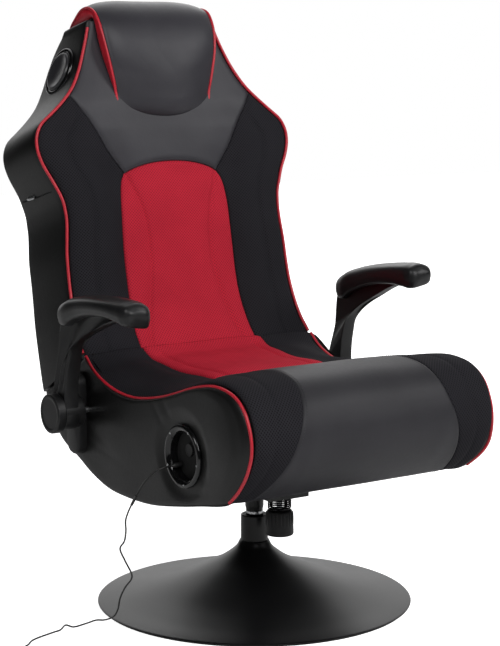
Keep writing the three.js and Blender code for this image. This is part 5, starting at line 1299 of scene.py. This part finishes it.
rows = near_rows(YOKE_FOOT, 634, 4.5)
half_line = np.where(rows < BOLSTER_TOP, yoke_side(rows), half_at(rows) - 5)
half_line = np.minimum(half_line, half_at(rows) - 5)
columns, up = strips(rows, [-half_line, half_line], [72])
up = up + arch(columns) * np.clip((400 - up) / 59, 0, 1)
grid = back_surface(columns, up)
edge_far = np.minimum(half_line[:, None] - np.abs(columns), up - YOKE_FOOT - arch(columns))
relief = seam_drop(np.maximum(edge_far, 0), 3.5) + tension(grid, 0.4)
back_yoke = pad("back_yoke", grid, relief, 10, grey_leather, np.stack([columns, up], -1), (0, -1, 0))
fit(back_yoke, "back", "grey_leather", fill=0.85)

core_rings = []
for s in np.linspace(1.5, 628, 50):
    xs = np.linspace(-1, 1, 25) * (half_at(s) - 9)
    upper = float(np.clip((s - 345) / 80, 0, 1))
    full = back_across(np.abs(xs) / half_at(s)) * (1 - upper) + 0.3 * upper
    n = front_at(s) - back_crown(s) * full + 10
    slant = FOOT_SLOPE * max(0.0, 1 - s / 90)
    loop = [*zip(xs, n), *[(x, 47.0) for x in xs[::-1]]]
    core_rings.append(on_back([(x, k, s - k * slant) for x, k in loop]))
back_core = loft("back_foam", core_rings, lining)
fit(back_core, "back", "soft_pad", "back_cushion", fill=0.85)

# Head pillow: a stuffed hood over the top of the back. Its face is grey leather-look cloth, its
# side gussets are red, and red piping runs along each edge of the face.
face_middle = [
    (27, 449), (20, 447.5), (13, 453), (4, 468), (-1, 490), (-7, 520), (-10, 555), (-9, 590), (0, 627), (16, 654),
    (40, 674), (68, 682), (96, 676), (122, 659), (144, 630), (156, 598), (164, 560), (170, 556),
]
face_edge = [
    (27, 477), (24, 477.5), (23, 484), (22, 496), (17, 514), (12, 540), (8, 570), (8, 600), (12, 624), (24, 650),
    (45, 663), (72, 665), (98, 657), (124, 644), (142, 622), (152, 595), (160, 561), (168, 556),
]
pillow_half = reading([
    (447, 98), (479, 103), (499, 106), (536, 114), (572, 121.5), (604, 126), (650, 128.5), (685, 128.5),
])
middle_line, edge_face = spline(face_middle, 5), spline(face_edge, 5)


def face_line(share):
    """The line of the pillow's face, from its foot over its top, at a share of its half width."""
    full = 1 - abs(share) ** (2.3 + 3.2 * np.clip((edge_face[:, 1:] - 540) / 90, 0, 1))
    return edge_face + (middle_line - edge_face) * full


shares = np.sin(np.linspace(-1, 1, 61) * math.pi / 2)
face_grid = []
for share in shares:
    line = face_line(share)
    face_grid.append(np.stack([share * pillow_half(line[:, 1]), line[:, 0], line[:, 1]], 1))
face_grid = np.array(face_grid)
weave = np.stack([face_grid[..., 0], np.repeat(distances(middle_line)[None], len(shares), 0)], -1)
edge_far = np.repeat(130 * (1 - np.abs(shares))[:, None], len(middle_line), 1)
creases = 0.4 * np.sin(face_grid[..., 0] / 17 + 1.4 * np.sin(face_grid[..., 2] / 29))
relief = seam_drop(edge_far, 3.0, 14.0) + creases
pillow_face = pad("pillow_face", on_back(face_grid), relief, 2.5, grey_leather, weave, (0, -1, 0.4))
fit(pillow_face, "back", "grey_leather", fill=0.7)
inner_line = spline([
    (28, 478), (29, 500), (31, 530), (32.5, 560), (32.5, 600), (32.5, 628), (36, 640), (60, 641.5), (96, 641.5),
    (120, 641), (131, 636), (150, 612), (164, 590), (172, 558),
], 8)
GUSSET_ROWS, GUSSET_POINTS = 9, 90
for word, side in (("right", -1), ("left", 1)):
    outer_run, inner_run = even(edge_face, GUSSET_POINTS), even(inner_line, GUSSET_POINTS)
    rim_half = pillow_half(outer_run[:, 1]) - 0.06 * np.clip(outer_run[:, 0] - 50, 0, 60)
    gusset = []
    for t in np.linspace(0, 1, GUSSET_ROWS):
        line = outer_run + (inner_run - outer_run) * t
        gusset.append(np.stack([side * (rim_half - 1.5 - 3 * t), line[:, 0], line[:, 1]], 1))
    gusset = np.array(gusset)
    bulge = 4.0 * np.sin(math.pi * np.linspace(0, 1, GUSSET_ROWS)) ** 0.7
    relief = np.repeat(bulge[:, None], GUSSET_POINTS, 1)
    piece = pad("pillow_gusset_" + word, on_back(gusset), relief, 2.0, red_vinyl, gusset[..., 1:], (side, 0, 0))
    fit(piece, "back", "red_piping")
    cord = np.stack([side * (rim_half + 0.2), outer_run[:, 0], outer_run[:, 1]], 1)
    fit(tube("pillow_piping_" + word, on_back(cord[1:-1]), 2.6, red_vinyl, 10), "back", "red_piping")
foam_rings = []
for share in np.linspace(-0.97, 0.97, 33):
    loop = np.vstack([even(face_line(share), 60), even(inner_line, 40)[::-1]])
    foam_rings.append(on_back(np.stack([share * pillow_half(loop[:, 1]), loop[:, 0], loop[:, 1]], 1)))
fit(loft("pillow_filling", foam_rings, grey_leather), "back", "grey_leather", "head_pillow", fill=0.7)

# Speakers: one in each shoulder of the back, a moulded ABS ring round a smooth dished cover over
# the driver, pressed into the shell from the side.
# Satin ABS: dark grey, smooth, with a faint cloud in its sheen.
cover_satin = mottled("satin_speaker_cover", 420.0, 5.0, "#2A2A2C", "#38383B", 0.3, (0.3, 0.0004))
SPEAKER_UP, SPEAKER_BACK = 552.0, 105.0
lean = math.atan2(half_at(SPEAKER_UP) - half_at(SPEAKER_UP + 32), 32)
ring_profile = rounded([
    (38, 2), (38, 0.4), (49, 0.4), (49, 4), (46, 7), (41, 7), (38, 4.4), (38, 2),
], 1.6, 5)[:-1]
cone_profile = [
    (0, -12), (26, -12), (44.5, -6), (44.5, -0.2), (38.6, -0.2), (38.4, 4.6), (37.8, 7.2), (36.4, 9), (34.2, 9.6),
    (31.6, 9.0), (27, 7.4), (20, 5.6), (12, 4.6), (5, 4.3), (0, 4.2),
]
for word, side in (("right", -1), ("left", 1)):
    out = np.array([side * math.cos(lean), 0, math.sin(lean)])
    over = np.array([math.sin(lean), 0, -side * math.cos(lean)])

    def speaker_place(p, out=out, over=over, side=side):
        centre = np.array([side * half_at(SPEAKER_UP), SPEAKER_BACK, SPEAKER_UP])
        return on_back(centre + p[:, 0:1] * over + p[:, 1:2] * np.array([0, 1, 0]) + p[:, 2:3] * out)
    ring = turned("speaker_bezel_" + word, ring_profile, gloss_abs, 96, speaker_place, True)
    driver = turned("speaker_cone_" + word, cone_profile, cover_satin, 72, speaker_place)
    fit(ring, "back", "gloss_black_plastic", "speaker_ring_" + word)
    fit(driver, "back", "gloss_black_plastic", "speaker_driver_" + word)

# Stitches: polyester thread beside the seams of the leather-look panels, sewn through the cover.
# Thread: dark, matt, close to the colour of the cloth.
thread = mottled("polyester_thread", 1500.0, 2.0, "#1E1E20", "#303034", 0.6)
stitch_tree = row_tree("stitches", 6, 5)
sunk = np.array([0, -COS, SIN]) * -0.4
x, up = np.linspace(-98, 98, 60), np.linspace(350, 488, 60)
yoke_lines = [back_surface(side * (yoke_side(up) - 6), up) + sunk for side in (-1, 1)]
yoke_lines.append(back_surface(x, YOKE_FOOT + arch(x) + 6) + sunk)
run = np.linspace(CROSS_SEAM + 12, end_run - 10, 120)
roll_lines = [seat_surface(side * (grey_edge(run) - 6), run) for side in (-1, 1)]
for name, lines, body in (("back_stitches", yoke_lines, "back"), ("roll_stitches", roll_lines, "seat")):
    fit(row_along(name, lines, stitch_tree, thread, 5.2, 3.8, 1.0, 1.0), body, "black_mesh")
